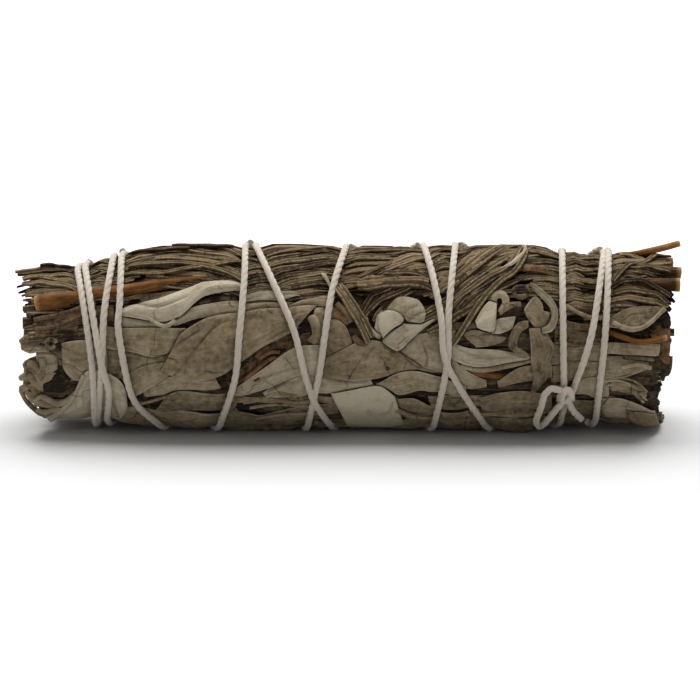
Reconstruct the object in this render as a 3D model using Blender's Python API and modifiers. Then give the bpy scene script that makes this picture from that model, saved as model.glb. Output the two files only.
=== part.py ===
"""A lying bunch of dried sage and needle herb, wound with cotton string.

X runs along the bunch, Z is up, and the bunch is seen from the front, along +Y. It lies on a
narrow flat of its underside, with the origin in that flat. The tables are in millimetres and
degrees, and place() turns them to metres. Leaves, stems and string are drawn on the front view,
x along the bunch and h up from its middle, and in_front() lays them on its round.
"""
import math
import random

import bmesh
import bpy
from mathutils import Vector

MM = 0.001
SEED = 11

# Driving dimensions, in millimetres
RADIUS = 14.65
FLAT_WIDTH = 8.0
AXIS_HEIGHT = math.sqrt(RADIUS ** 2 - (FLAT_WIDTH / 2) ** 2)
STRING_RADIUS = 0.58
STRING_DEPTH = 0.22
GAP = 0.33
BLADE = 0.7
CORE_DEPTH = 1.2
NEEDLE_CORE_DEPTH = 0.75
SUNK = 1.07
FREE_SUNK = 0.25
NARROW_LEAF = 4.0
CORE_ENDS = (-43.5, 43.0)

# The front view is taken from a little above, in degrees, and from this far, in millimetres
VIEW_TILT = math.radians(12)
VIEW_DISTANCE = 450.0

# Along the bunch: x, its radius, and how far its axis drops
GIRTH = [
    (-52, 10.8, -1.5), (-47, 12.0, -1.2), (-42, 12.3, -0.9), (-37, 13.4, -0.4), (-30, 14.4, -0.1),
    (-22, 14.8, 0.0), (-16, 14.6, 0.0), (-8, 14.8, 0.0), (0, 14.4, 0.0), (6, 14.5, 0.0),
    (13, 14.7, 0.0), (28, 14.8, 0.0), (33.5, 13.8, 0.0), (41, 13.5, 0.0), (46, 13.6, 0.0), (52, 13.3, 0.0),
]

# Where the broad leaves of the front meet the needles above them: x and h
FRONT_SEAM = [
    (-60, 2.6), (-50, 3.2), (-44, 4.6), (-36, 5.4), (-30, 6.6), (-23, 9.2), (-16.5, 9.2), (-13, 7.7),
    (-6, 7.6), (-2, 5.4), (3, 3.6), (8, 6.5), (13, 5.6), (17, 2.8), (20, 3.2), (23.5, 7.3), (28.5, 8.4),
    (33.5, 4.6), (39, 2.8), (44, 4.9), (50, 5.0), (60, 5.0),
]
NEEDLE_SEAM = 112
BACK_SEAM = 200
LOW_SEAM = 290

# Broad leaves of the front: upper edge, lower edge, and how deep they lie
FRONT_LEAVES = [
    ([(-51.3, -8.3), (-49, -9.6), (-46, -10.6), (-42, -10)],
     [(-50.6, -10.2), (-48.5, -11.6), (-45, -12), (-42, -12)], 0.6),
    ([(-45.2, -1.1), (-43, -0.7), (-38, -0.8)], [(-45.0, -5.2), (-42.8, -7.2), (-38, -6)], 0.4),
    ([(-47.3, -12.8), (-44.4, -10.4), (-42.2, -8), (-41, -5.4), (-36.5, -6.5), (-35, -9)],
     [(-47.5, -13.5), (-44, -13.1), (-41, -13.2), (-38, -13.6), (-36, -13.2), (-34.7, -11.5)], 0.1),
    ([(-49.6, 2.7), (-46, 3.4), (-42, 4.6), (-37, 5.2)],
     [(-49.2, -0.2), (-46, 0.2), (-42, 2), (-37, 2.6)], 0.5),
    ([(-38.5, 1.6), (-34, 1.4), (-28.5, 1.3), (-24.5, 1.2)],
     [(-38.5, -2), (-35, -2.5), (-31, -3.3), (-27.5, -2.5)], 0.25),
    ([(-39.1, -1.5), (-33, -2), (-26.5, -2.5)], [(-39.3, -7.6), (-33.5, -6.4), (-26.5, -4.2)], 0.6),
    ([(-35.8, -7), (-32, -4.8), (-26.8, -4)], [(-34, -10.3), (-30, -7.6), (-26.6, -5)], 0.5),
    ([(-32.5, -9), (-29, -6.8), (-21, -6.8)], [(-32, -10), (-27, -9.3), (-20, -8.8)], 0.8),
    ([(-31, -9.6), (-26, -9), (-17, -9.8)], [(-31, -12.9), (-25, -12.2), (-18, -12.3)], 0.5),
    ([(-26.5, 0.5), (-22, 3.1), (-16, 4.2), (-9, 4.9), (-5, 5.1)],
     [(-29.5, -5.4), (-25, -7.2), (-19.5, -6), (-14, -2), (-8.8, 0.7)], 0.1),
    ([(-36, 4.6), (-30, 6.1), (-25, 7.9), (-21, 9), (-15.5, 9)],
     [(-36, 3.4), (-30, 2.4), (-26.5, 3.2), (-22.5, 6.6), (-15.5, 7.7)], 0.05),
    ([(-36, 3.2), (-32, 2.7), (-28, 2.4)], [(-36, 1.7), (-32, 1.5), (-28, 1.4)], 0.5),
    ([(-28, 3), (-24, 5), (-16, 6), (-8, 5.7)], [(-27.5, 1.7), (-23, 3.1), (-14, 4.4), (-8, 5)], 0.45),
    ([(-17, 6.7), (-12, 7.5), (-6, 7.3)], [(-17, 5.7), (-12, 5.9), (-6, 6.2)], 0.3),
    ([(-9.5, 5.2), (-7, 6.2), (-3, 7)], [(-9, 4.6), (-6, 5), (-3, 5.1)], 0.4),
    ([(-8.6, 4.4), (-4, 5), (-1, 4.6), (0.4, 3)],
     [(-8, 0.9), (-4, -4), (-1.5, -4.6), (0.6, -1.5)], 0.5),
    ([(-18, -8.7), (-13, -4.8), (-8, -1.7), (-4.5, -1.3)],
     [(-18, -10), (-13, -8.6), (-8, -6.5), (-2, -6.8)], 0.2),
    ([(-13.5, -9.2), (-9, -6.6), (-4, -6.3), (3.5, -7.2)],
     [(-13, -9.9), (-8, -9.7), (-2, -9.2), (4, -8)], 0.35),
    ([(-19, -9.5), (-11, -9.9), (-2, -9.9)], [(-19.5, -12.9), (-12, -13.3), (-1.5, -12)], 0.6),
    ([(-3.5, -3.5), (1, -1.1), (4.5, -0.6), (8, -2.6), (11.2, -4.8)],
     [(-4, -6.6), (0, -7.2), (4, -7), (7, -6), (11.4, -5.2)], 0.2),
    ([(5.2, -0.2), (8, 1.1), (11.5, 2.6), (15, 3)],
     [(5.6, -1), (8, -2.4), (10.5, -0.3), (14.5, 1.2)], 0.1),
    ([(3.9, 2.8), (6, 4), (8, 3.5), (8.8, 2.4)], [(4.2, 0), (5.6, -0.2), (7.3, 0.8), (8.8, 2)], -0.06),
    ([(5.5, 4.4), (8.5, 6.2), (13.5, 5.4)], [(6, 4), (9, 3.1), (13.5, 2.4)], 0.4),
    ([(7.4, -1.4), (11, 0.4), (17, 1)], [(7.8, -4.5), (13, -6), (17, -6)], 0.55),
    ([(4.3, -7.7), (8, -5.9), (12, -5.8), (18.5, -8.2)],
     [(4.8, -8), (8, -9.3), (13, -8.9), (18.5, -9.9)], 0.15),
    ([(-2.5, -10.4), (1, -8.4), (6, -8.9), (9, -12.4)],
     [(-3.2, -12.6), (0, -13.9), (5, -14), (9, -13.7)], 0.1),
    ([(7, -10), (10.5, -9.9), (14.1, -12)], [(7.4, -11.2), (10, -12.3), (14.1, -12.7)], 0.3),
    ([(8, -12), (15, -12.5), (22, -12)], [(9, -13.8), (15, -13.8), (22, -13.2)], 0.5),
    ([(12.5, -10), (18, -9.9), (24, -9.7)], [(13, -12), (18, -12.3), (24, -11.8)], 0.7),
    ([(16.2, -3.5), (19, -5.8), (21.7, -7.1)], [(16.5, -8.3), (19, -8.7), (21.8, -8.1)], 0.35),
    ([(15.8, -0.7), (19, -1.9), (24, -2.2), (28.5, -3.1)],
     [(16.3, -3.8), (20, -4.8), (25, -4.2), (28.5, -3.6)], 0.1),
    ([(17.5, 1), (21, 0.8), (25.5, -0.3)], [(18, -0.5), (20.5, -1.8), (25.5, -0.7)], 0.4),
    ([(15.5, 2.4), (21.4, 2.5)], [(15.5, 0.3), (21.4, 1.1)], 0.75),
    ([(19.9, 2), (21.8, 5), (23.8, 7), (25, 5.2), (26.4, 3.2)],
     [(20.2, 1.5), (22, 1), (24, 0.2), (25.2, 1.2), (26.5, 2.7)], -0.1),
    ([(23.4, -7.2), (27, -4.9), (32, -4.5)], [(23.6, -8.3), (27, -7.5), (32, -6.5)], 0.3),
    ([(20.5, -9.9), (26, -8.9), (32, -9.5)], [(21, -12.4), (26, -11.5), (32, -12)], 0.4),
    ([(21, -12.3), (25, -11.6), (30, -11.8)], [(20, -13.6), (25, -13.4), (30, -13.2)], 0.8),
    ([(25.6, 6), (27, 7.9), (29, 7.9), (31.5, 5.6), (33, 3.8)],
     [(26.2, 5.3), (27.4, 3.2), (28.6, 1.6), (31.2, 0.5), (33, 2.2)], -0.05),
    ([(28.3, 1), (28.5, -3), (28.8, -7), (28.4, -9.2)],
     [(32, 0.9), (32.4, -2.4), (31.2, -7.2), (29, -9.4)], 0.0),
    ([(25.3, 2), (26.5, 2.9), (29, 2.7)], [(25.5, -2), (27, -3), (29, -3.2)], 0.5),
    ([(32.5, 3.8), (36, 3.2), (41, 1.5)], [(32.5, -1), (36, -1.5), (41, -0.8)], 0.6),
    ([(31.5, -1), (36, -1.1), (41, -0.9)], [(31.5, -4.8), (36, -4.5), (41, -4.5)], 0.7),
    ([(31.7, -4.9), (36, -4.3), (41, -4.3)], [(32, -7.6), (36, -7.2), (41, -6.8)], 0.4),
    ([(35, -8), (37.5, -7), (41, -6.4)], [(35, -9.7), (37, -9.5), (41, -11.3)], 0.3),
    ([(34.5, -10.3), (38, -10.8), (41, -10)], [(35, -13), (38, -13.1), (41, -12.9)], 0.6),
    ([(40, 2.4), (43, 4.1), (46, 4.9), (49.8, 4.7)],
     [(40, 1.8), (43.5, 1.3), (46.4, 1.7), (49.9, 4.2)], 0.0),
    ([(42, 1.6), (48.3, 3.5), (50.9, 2.8)], [(42, -3), (48.5, -4.3), (50.6, -4.3)], 1.3),
    ([(40, -0.9), (44, -1.1), (49.2, -1.3)], [(40, -2.9), (44, -3), (48.9, -3.1)], 0.3),
    ([(39.8, -3.9), (43.5, -3.7), (47.3, -4.2)], [(39.8, -7), (43.5, -6.5), (47.2, -5.4)], 0.2),
    ([(40, -7), (43, -7), (46.8, -8.8)], [(40, -8.6), (43, -9.2), (47, -9.6)], 0.4),
    ([(39.8, -10.2), (43, -9.9), (48.2, -11.8)], [(39.8, -12.9), (43, -13), (48.4, -12.6)], 0.1),
    ([(44, -11.5), (48.4, -11.9)], [(44, -12.4), (46.9, -13.8), (49, -13.4)], -0.8),
    ([(42, -5.5), (47.5, -5), (49, -6)], [(42, -10), (46, -10.4), (48.2, -11.6)], 1.5),
]

# Inner leaves that show where the bunch is cut: end, angle, how far from the axis, reach past the core
CUT_LEAVES = [
    (0, -40, 9.3, 5.6), (0, -15, 8.0, 7.4), (0, -60, 5.6, 4.0), (0, 8, 6.0, 5.0),
    (1, -35, 9.0, 4.6), (1, -5, 9.4, 6.6), (1, -55, 6.0, 3.4), (1, 12, 5.8, 5.2),
    (0, 222, 9.4, 5.2), (0, 255, 9.3, 3.6), (0, 240, 6.0, 6.0), (0, 270, 5.4, 3.0),
    (1, 225, 9.6, 4.8), (1, 258, 9.3, 5.4), (1, 240, 6.2, 3.2), (1, 272, 5.6, 6.2),
]

# Woody stems: points x, h and depth of the centre line, and radius
FRONT_STEMS = {
    "stem_left": ([(-49.4, 4.3, 1.6), (-45, 5.2, 2.0), (-42, 5.7, 2.9), (-37, 6.7, 2.9), (-32, 7.7, 2.7),
                   (-26, 8.8, 2.7), (-20, 8.6, 3.4)], 1.4),
    "stem_right_thick": ([(52.1, 8.1, 0.6), (46, 8.1, 1.0), (42, 7.6, 2.4), (36, 6.6, 2.6),
                          (30, 6.2, 3.0)], 0.95),
    "stem_right_middle": ([(52.3, 10.0, 0.9), (46, 10.2, 1.2), (41, 9.8, 2.2), (35, 9.4, 2.4),
                           (30, 9.0, 3.0)], 0.7),
    "stem_right_upper": ([(51.0, 11.7, 0.9), (46, 11.5, 1.3), (41, 10.8, 2.0), (34, 10.4, 2.3),
                          (26, 10.2, 2.6)],
                         0.65),
    "twig_right": ([(52, 14.7, -1.9), (49.5, 14, -1.2), (47, 13.4, -0.4), (44.8, 13, 0.3),
                    (42.7, 12.9, 0.6)], 0.55),
    "stem_low": ([(34, -6.4, 3.0), (26, -6.3, 2.4), (21, -5.8, 2.2), (16, -5.4, 2.6),
                  (10, -5.0, 3.2)], 0.75),
    "twig_front": ([(50.1, -0.2, -0.2), (46, -0.8, 0.2), (43, 0.0, 0.6), (40.5, 0.8, 1.9),
                    (36, 0.9, 2.4)], 0.42),
}

# Stems inside the bunch: angle, distance from the axis, radius, and both ends
INNER_STEMS = {
    "stem_middle": (0, 0.0, 1.9, -48.0, 47.5),
    "stem_back": (150, 8.6, 1.3, -46.5, 49.5),
    "stem_under": (250, 6.6, 1.2, -49.0, 46.0),
}

# The string's front passes in the order of winding, each from the top of the bunch down: x and h.
# Behind, each goes up from under the bunch to the top of the next.
STRING_PASSES = [
    [(37.6, 14.0), (37.6, 0), (37.6, -13.6)],
    [(40.2, 13.6), (38.4, 1), (35.3, -8.6), (34, -11), (33.2, -13.8)],
    [(16.8, 14.6), (15.8, 4), (15.7, -3), (14.9, -8), (13.4, -14.2)],
    [(-0.4, 14.4), (-2.4, 8), (-3.6, 1), (-4.6, -6), (-6.4, -14.2)],
    [(-16.2, 14.8), (-16.4, 9), (-17.2, 0), (-17.9, -7), (-20.2, -14.1)],
    [(-37.0, 12.6), (-38.4, 4), (-38.8, -4), (-39.4, -12.8)],
    [(-42.6, 10.6), (-41.4, 3), (-40.3, -5), (-39.9, -12.7)],
    [(-41.4, 10.9), (-40.2, 3), (-38.9, -4), (-37.7, -8.8), (-38.0, -13.0)],
    [(-35.7, 12.4), (-36.0, 5), (-36.2, 1), (-34.8, -7), (-33.3, -10.8), (-30, -13.8)],
    [(-14.6, 14.7), (-12, 9), (-8.6, 1), (-6.6, -7), (-4.4, -12), (-2.6, -14.3)],
    [(11.8, 14.8), (13.2, 10), (14.6, 3), (15.1, -3), (17.4, -8), (21.4, -14)],
    [(40.9, 13.5), (40.7, 5), (40.1, -3), (38.9, -13.0)],
    [(33.6, 13.7), (33.8, 0), (33.9, -8.6)],
]
KNOT = (34.0, -9.2, -0.5)
KNOT_RADIUS = 1.35
LOOP = [(34.0, -8.8, -0.6), (32.2, -8.0, -1.1), (30.6, -9.0, -1.3), (29.9, -11.2, -1.2), (29.2, -13.4, -1.0),
        (30.0, -14.2, -1.1), (31.6, -12.6, -1.3), (33.2, -10.8, -1.2), (34.2, -9.7, -0.6)]
TAIL = [(34.4, -9.6, -0.6), (35.2, -11.4, -0.9), (36.3, -12.8, -0.7)]
STRING_STEP = 24
LIFT = 0.55

# Sides of a string, a stem and a needle, and the far ends of the room around the bunch
STRING_SIDES = 4
STEM_SIDES = 6
NEEDLE_SIDES = 4
FAR_ENDS = (-60, 60)
OUTSIDE = 6.0
PAST_END = 12.0
NEARLY_FLAT = math.radians(3.5)

# Needles and hidden leaves placed by a seeded rule
TOP_NEEDLES = 29
BACK_NEEDLES = 24
END_NEEDLES = 5
HIDDEN_LEAVES = 13
NEEDLE_RADIUS = 0.72


def girth(x):
    """The radius of the bunch and the drop of its axis at a place along it."""
    if x <= GIRTH[0][0]:
        return GIRTH[0][1:]
    for left, right in zip(GIRTH, GIRTH[1:]):
        if x <= right[0]:
            share = (x - left[0]) / (right[0] - left[0])
            share = share * share * (3 - 2 * share)
            return tuple(a + (b - a) * share for a, b in zip(left[1:], right[1:]))
    return GIRTH[-1][1:]


def place(x, angle, depth):
    """A point at a depth inside the outline of the bunch, at an angle in radians up from its front."""
    radius, drop = girth(x)
    reach = radius - depth
    return Vector((x, -reach * math.cos(angle), AXIS_HEIGHT + drop + reach * math.sin(angle))) * MM


def in_front(x, h, depth=0.0):
    """Where a point of the front view lies on the round: its true x and its angle in radians."""
    radius, drop = girth(x)
    reach = radius - depth
    rise = max(-0.96, min(0.96, (h - drop) / reach))
    nearness = 1 - reach * math.sqrt(1 - rise * rise) / VIEW_DISTANCE
    return x * nearness, VIEW_TILT + math.asin(rise * nearness)


def along(points, share):
    """The point at a share of the way along a smooth line through points."""
    spot = min(max(share, 0.0), 1.0) * (len(points) - 1)
    first = min(int(spot), len(points) - 2)
    part = spot - first
    a, b, c, d = (Vector(points[min(max(first + k, 0), len(points) - 1)]) for k in (-1, 0, 1, 2))
    return 0.5 * (2 * b + (c - a) * part + (2 * a - 5 * b + 4 * c - d) * part ** 2
                  + (3 * b - a - 3 * c + d) * part ** 3)


def collection(name):
    """A new collection in the scene."""
    group = bpy.data.collections.new(name)
    bpy.context.scene.collection.children.link(group)
    return group


def move_in(name, group):
    """Name the new primitive and put it in a collection alone."""
    thing = bpy.context.active_object
    thing.name = name
    for home in list(thing.users_collection):
        home.objects.unlink(thing)
    group.objects.link(thing)


def finish(name, base, roughness):
    """A plain material with the colour and roughness of a piece."""
    material = bpy.data.materials.new(name)
    material.use_nodes = True
    shader = material.node_tree.nodes["Principled BSDF"]
    shader.inputs["Base Color"].default_value = (*base, 1)
    shader.inputs["Roughness"].default_value = roughness
    shader.inputs["Metallic"].default_value = 0.0
    return material


def colour(solid, material):
    """Give a piece one material."""
    solid.data.materials.clear()
    solid.data.materials.append(material)


def as_mesh(thing, name, group):
    """A plain mesh of an object as it stands with its modifiers; the object goes."""
    bpy.context.view_layer.update()
    mesh = bpy.data.meshes.new_from_object(thing.evaluated_get(bpy.context.evaluated_depsgraph_get()))
    result = bpy.data.objects.new(name, mesh)
    result.matrix_world = thing.matrix_world
    group.objects.link(result)
    bpy.data.objects.remove(thing)
    result.name = name
    return result


def tube(name, points, radius, group, sides, narrow=None):
    """A round rod along points in metres, with its thinner places given by narrow."""
    curve = bpy.data.curves.new(name, 'CURVE')
    curve.dimensions = '3D'
    curve.bevel_depth = radius * MM
    curve.bevel_resolution = sides // 2 - 2
    curve.use_fill_caps = True
    line = curve.splines.new('POLY')
    line.points.add(len(points) - 1)
    for index, point in enumerate(points):
        line.points[index].co = (*point, 1)
        line.points[index].radius = narrow[index] if narrow else 1
    rod = bpy.data.objects.new(name, curve)
    group.objects.link(rod)
    solid = as_mesh(rod, name, group)
    shape = bmesh.new()
    shape.from_mesh(solid.data)
    bmesh.ops.remove_doubles(shape, verts=shape.verts, dist=0.00001)
    shape.to_mesh(solid.data)
    shape.free()
    return solid


def blade(name, patch, depth, group, steps=(5, 2), thickness=BLADE, crown=0.2):
    """A leaf: patch(u, v) gives x and angle along and across it, and the middle stands up by crown."""
    mesh = bpy.data.meshes.new(name)
    sheet = bmesh.new()
    bmesh.ops.create_grid(sheet, x_segments=steps[0], y_segments=steps[1], size=0.5)
    facing = 0.0
    for corner in sheet.verts:
        u, v = corner.co.x + 0.5, corner.co.y + 0.5
        corner.co = place(*patch(u, v), depth - crown * math.sin(math.pi * v))
    bmesh.ops.triangulate(sheet, faces=sheet.faces, quad_method='FIXED')
    sheet.normal_update()
    for face in sheet.faces:
        centre = face.calc_center_median()
        outward = Vector((0, centre.y, centre.z - AXIS_HEIGHT * MM))
        facing += face.normal.dot(outward)
    if facing < 0:
        bmesh.ops.reverse_faces(sheet, faces=sheet.faces)
    sheet.to_mesh(mesh)
    sheet.free()
    leaf = bpy.data.objects.new(name, mesh)
    group.objects.link(leaf)
    wall = leaf.modifiers.new("thickness", 'SOLIDIFY')
    wall.thickness = thickness * MM
    wall.offset = -1
    return leaf


def drawn_patch(upper, lower):
    """A leaf between two edges drawn on the front view."""
    def patch(u, v):
        x, h = along(lower, u).lerp(along(upper, u), v)
        return in_front(x, h)
    return patch


def lens_patch(x, angle, length, width, tilt):
    """A leaf with a pointed end each way, centred at x and an angle."""
    def patch(u, v):
        run = (u - 0.5) * length
        half = width * (0.12 + 0.88 * math.sin(math.pi * u)) * (v - 0.5)
        return x + run, angle + (half + run * tilt) / RADIUS
    return patch


def loft(name, rings, group):
    """A closed solid through rings of corners, one after the other along the bunch."""
    mesh = bpy.data.meshes.new(name)
    shape = bmesh.new()
    rows = [[shape.verts.new(corner) for corner in ring] for ring in rings]
    for row, following in zip(rows, rows[1:]):
        for k in range(len(row)):
            near = (k + 1) % len(row)
            shape.faces.new((row[k], row[near], following[near], following[k]))
    shape.faces.new(list(reversed(rows[0])))
    shape.faces.new(rows[-1])
    bmesh.ops.triangulate(shape, faces=shape.faces)
    bmesh.ops.recalc_face_normals(shape, faces=shape.faces)
    shape.to_mesh(mesh)
    shape.free()
    solid = bpy.data.objects.new(name, mesh)
    group.objects.link(solid)
    return solid


def core(name, depth, group):
    """The pressed inside of the bunch, which leaves and needles stand out of."""
    stations = [CORE_ENDS[0], -38, -30, -20, -8, 4, 16, 28, 35, CORE_ENDS[1]]
    corners = 20
    rings = []
    for x in stations:
        rings.append([place(x, math.tau * k / corners, depth) for k in range(corners)])
    return loft(name, rings, group)


def seam_angles(x):
    """The angles of the seams between the sprigs at a place along the bunch."""
    for left, right in zip(FRONT_SEAM, FRONT_SEAM[1:]):
        if left[0] <= x <= right[0]:
            h = left[1] + (right[1] - left[1]) * (x - left[0]) / (right[0] - left[0])
            return (in_front(x, h)[1], *map(math.radians, (NEEDLE_SEAM, BACK_SEAM, LOW_SEAM)))
    raise ValueError("outside the bunch")


def wedge(name, which, group):
    """The room of one sprig, from the axis out, between its seam and the next."""
    steps = 8
    stations = [x for x, h in FRONT_SEAM] if which in (0, 3) else FAR_ENDS
    rings = []
    for x in stations:
        seams = seam_angles(x)
        start = seams[which]
        end = seams[which + 1] if which < 3 else seams[0] + math.tau
        ring = [Vector((x, 0, AXIS_HEIGHT)) * MM]
        for k in range(steps + 1):
            ring.append(place(x, start + (end - start) * k / steps, -OUTSIDE))
        rings.append(ring)
    return loft(name, rings, group)


def seam_wall(name, which, group):
    """The thin gap between two sprigs, as a wall from the axis out."""
    stations = [x for x, h in FRONT_SEAM] if which == 0 else FAR_ENDS
    mesh = bpy.data.meshes.new(name)
    sheet = bmesh.new()
    bmesh.ops.create_grid(sheet, x_segments=len(stations) - 1, y_segments=1, size=0.5)
    for corner in sheet.verts:
        x = stations[round((corner.co.x + 0.5) * (len(stations) - 1))]
        depth = -OUTSIDE - 1 if corner.co.y > 0 else girth(x)[0] + 0.2
        corner.co = place(x, seam_angles(x)[which], depth)
    bmesh.ops.triangulate(sheet, faces=sheet.faces, quad_method='FIXED')
    sheet.to_mesh(mesh)
    sheet.free()
    wall = bpy.data.objects.new(name, mesh)
    group.objects.link(wall)
    thick = wall.modifiers.new("thickness", 'SOLIDIFY')
    thick.thickness = GAP * MM
    thick.offset = 0
    return wall


def string_lines():
    """Each front pass as x by angle, in degrees going down from the top of the bunch."""
    lines = []
    for drawn in STRING_PASSES:
        line = []
        for k in range(13):
            x, h = along(drawn, k / 12)
            true_x, angle = in_front(x, h)
            line.append((math.degrees(angle), true_x))
        lines.append(line)
    return lines


def string_x(lines, turn, angle):
    """Where along the bunch a turn of the string is, at an angle that runs from 102 down to -258."""
    line = lines[turn]
    if angle >= line[0][0]:
        return line[0][1]
    for high, low in zip(line, line[1:]):
        if angle >= low[0]:
            return low[1] + (high[1] - low[1]) * (angle - low[0]) / (high[0] - low[0])
    behind = lines[(turn + 1) % len(lines)][0]
    share = (line[-1][0] - angle) / (line[-1][0] - behind[0] + 360)
    return line[-1][1] + (behind[1] - line[-1][1]) * min(share, 1.0)


def string_lift(lines, turn, angle, x):
    """How far a turn rides up where it passes over turns wound before it."""
    lift = 0.0
    for earlier in range(turn):
        away = abs(string_x(lines, earlier, angle) - x) / (2.2 * STRING_RADIUS)
        lift = max(lift, LIFT * (1 - away * away))
    return lift


def string_turn(lines, turn):
    """The points of one turn, down the front and up the back, and how thick it is at each."""
    last = turn == len(lines) - 1
    start = lines[turn][-1][0] if turn == 0 else 102
    end = lines[turn][-1][0] if last else -258
    points = []
    narrow = []
    steps = round((start - end) / STRING_STEP)
    for k in range(steps + 1):
        angle = start + (end - start) * k / steps
        x = string_x(lines, turn, angle)
        depth = STRING_DEPTH - string_lift(lines, turn, angle, x)
        points.append(place(x, math.radians(angle), depth))
        narrow.append(1.0)
    if not last:
        following = string_x(lines, turn + 1, 96)
        points.append(place(following, math.radians(96), STRING_DEPTH))
        narrow.append(0.8)
    floor = (STRING_RADIUS + 0.04) * MM
    for point in points:
        point.z = max(point.z, floor)
    return points, narrow


def free_points(drawn):
    """A free stretch of string, drawn on the front view with its depth."""
    points = []
    for x, h, depth in drawn:
        true_x, angle = in_front(x, h, depth)
        point = place(true_x, angle, depth)
        point.z = max(point.z, (STRING_RADIUS + 0.04) * MM)
        points.append(point)
    return points


def string_pieces(extra, group):
    """The turns, the loop and the tail of the string, fatter by extra; gives the first turn back."""
    lines = string_lines()
    turns_made = []
    for turn in range(len(lines)):
        points, narrow = string_turn(lines, turn)
        turns_made.append(tube(f"turn {turn}", points, STRING_RADIUS + extra, group, STRING_SIDES, narrow))
    tube("loop", free_points(LOOP), STRING_RADIUS + extra, group, STRING_SIDES)
    tube("tail", free_points(TAIL), STRING_RADIUS + extra, group, STRING_SIDES)
    x, h, depth = KNOT
    bpy.ops.mesh.primitive_uv_sphere_add(segments=10, ring_count=7, radius=(KNOT_RADIUS + extra) * MM,
                                         location=free_points([KNOT])[0])
    move_in("knot", group)
    return turns_made[0]


def stem(name, points, radius, extra, beyond, group):
    """One woody stem; where it is fatter by extra, it also runs on past each end by a distance."""
    if extra:
        first = (points[0] - points[1]).normalized() * beyond[0] * MM
        last = (points[-1] - points[-2]).normalized() * beyond[1] * MM
        points = [points[0] + first, *points, points[-1] + last]
    return tube(name, points, radius + extra, group, STEM_SIDES)


def stem_pieces(extra, group):
    """Every woody stem, fatter by extra."""
    stems = []
    for name, (drawn, radius) in FRONT_STEMS.items():
        points = []
        for k in range(6):
            x, h, depth = along(drawn, k / 5)
            true_x, angle = in_front(x, h, depth)
            points.append(place(true_x, angle, depth))
        stems.append(stem(name, points, radius, extra, (PAST_END, extra), group))
    for name, (angle, reach, radius, left, right) in INNER_STEMS.items():
        points = [place(x, math.radians(angle), girth(x)[0] - reach) for x in (left, right)]
        stems.append(stem(name, points, radius, extra, (PAST_END, PAST_END), group))
    return stems


def boolean(target, operation, group):
    """A Boolean of a piece with a collection; the fast solver, for EXACT is slow on so many leaves."""
    cut = target.modifiers.new(operation.lower(), 'BOOLEAN')
    cut.operation = operation
    cut.solver = 'MANIFOLD'
    cut.operand_type = 'COLLECTION'
    cut.collection = group


def as_solid(target, name):
    """The piece with its modifiers applied, as its largest body, with loose scraps and hollows gone."""
    solid = as_mesh(target, name, bunch)
    shape = bmesh.new()
    shape.from_mesh(solid.data)
    shells = []
    unseen = set(shape.faces)
    while unseen:
        shell = [unseen.pop()]
        for face in shell:
            for edge in face.edges:
                for other in edge.link_faces:
                    if other in unseen:
                        unseen.discard(other)
                        shell.append(other)
        shells.append(shell)
    shells.sort(key=len)
    for shell in shells[:-1]:
        bmesh.ops.delete(shape, geom=shell, context='FACES')
    bmesh.ops.dissolve_limit(shape, angle_limit=NEARLY_FLAT, verts=shape.verts, edges=shape.edges)
    bmesh.ops.triangulate(shape, faces=shape.faces)
    shape.to_mesh(solid.data)
    shape.free()
    return solid


def clear(group):
    """Remove a collection and all that is in it."""
    for thing in list(group.objects):
        bpy.data.objects.remove(thing)
    bpy.data.collections.remove(group)


def front_leaves(group):
    """The drawn leaves of the front."""
    for number, (upper, lower, depth) in enumerate(FRONT_LEAVES):
        width = max(abs(high[1] - low[1]) for high, low in zip(upper, lower))
        steps = (max(len(upper), len(lower)), 1 if width < NARROW_LEAF else 2)
        free = upper[0][0] < CORE_ENDS[0] or upper[-1][0] > CORE_ENDS[1]
        thickness = CORE_DEPTH - depth + (FREE_SUNK if free else SUNK)
        blade(f"leaf {number}", drawn_patch(upper, lower), depth, group, steps, max(thickness, BLADE))


def cut_leaves(start, end, group):
    """The inner leaves between two angles that show at the cut ends."""
    for number, (side, angle, reach, proud) in enumerate(CUT_LEAVES):
        if start <= angle < end:
            inner = CORE_ENDS[side] + (5 if side == 0 else -5)
            outer = CORE_ENDS[side] + (-proud if side == 0 else proud)
            middle = (inner + outer) / 2
            depth = girth(middle)[0] - reach
            width = 7.0 * RADIUS / reach
            patch = lens_patch(middle, math.radians(angle), abs(outer - inner), width, 0.0)
            blade(f"cut leaf {number}", patch, depth, group, (2, 2), BLADE, 0.9)


def hidden_leaves(group):
    """The leaf the bunch rests on, then leaves of the underside and low back by a seeded rule."""
    resting = lens_patch(0, math.radians(270), 66, 10, 0.0)
    blade("resting leaf", resting, 0.0, group, (5, 2), CORE_DEPTH + SUNK, 0.0)
    rows = 5
    for number in range(HIDDEN_LEAVES):
        angle = BACK_SEAM + 8 + (number % rows) * 18.5 + draw.uniform(-5, 5)
        length = draw.uniform(26, 40)
        share = (number // rows + draw.uniform(0.2, 0.8)) / math.ceil(HIDDEN_LEAVES / rows)
        x = -49 + length / 2 + (97 - length) * share
        depth = draw.uniform(0.1, 0.7)
        patch = lens_patch(x, math.radians(angle), length, draw.uniform(7, 9), draw.uniform(-0.12, 0.12))
        blade(f"leaf {number}", patch, depth, group, (5, 2), CORE_DEPTH - depth + SUNK, 0.3)


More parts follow.
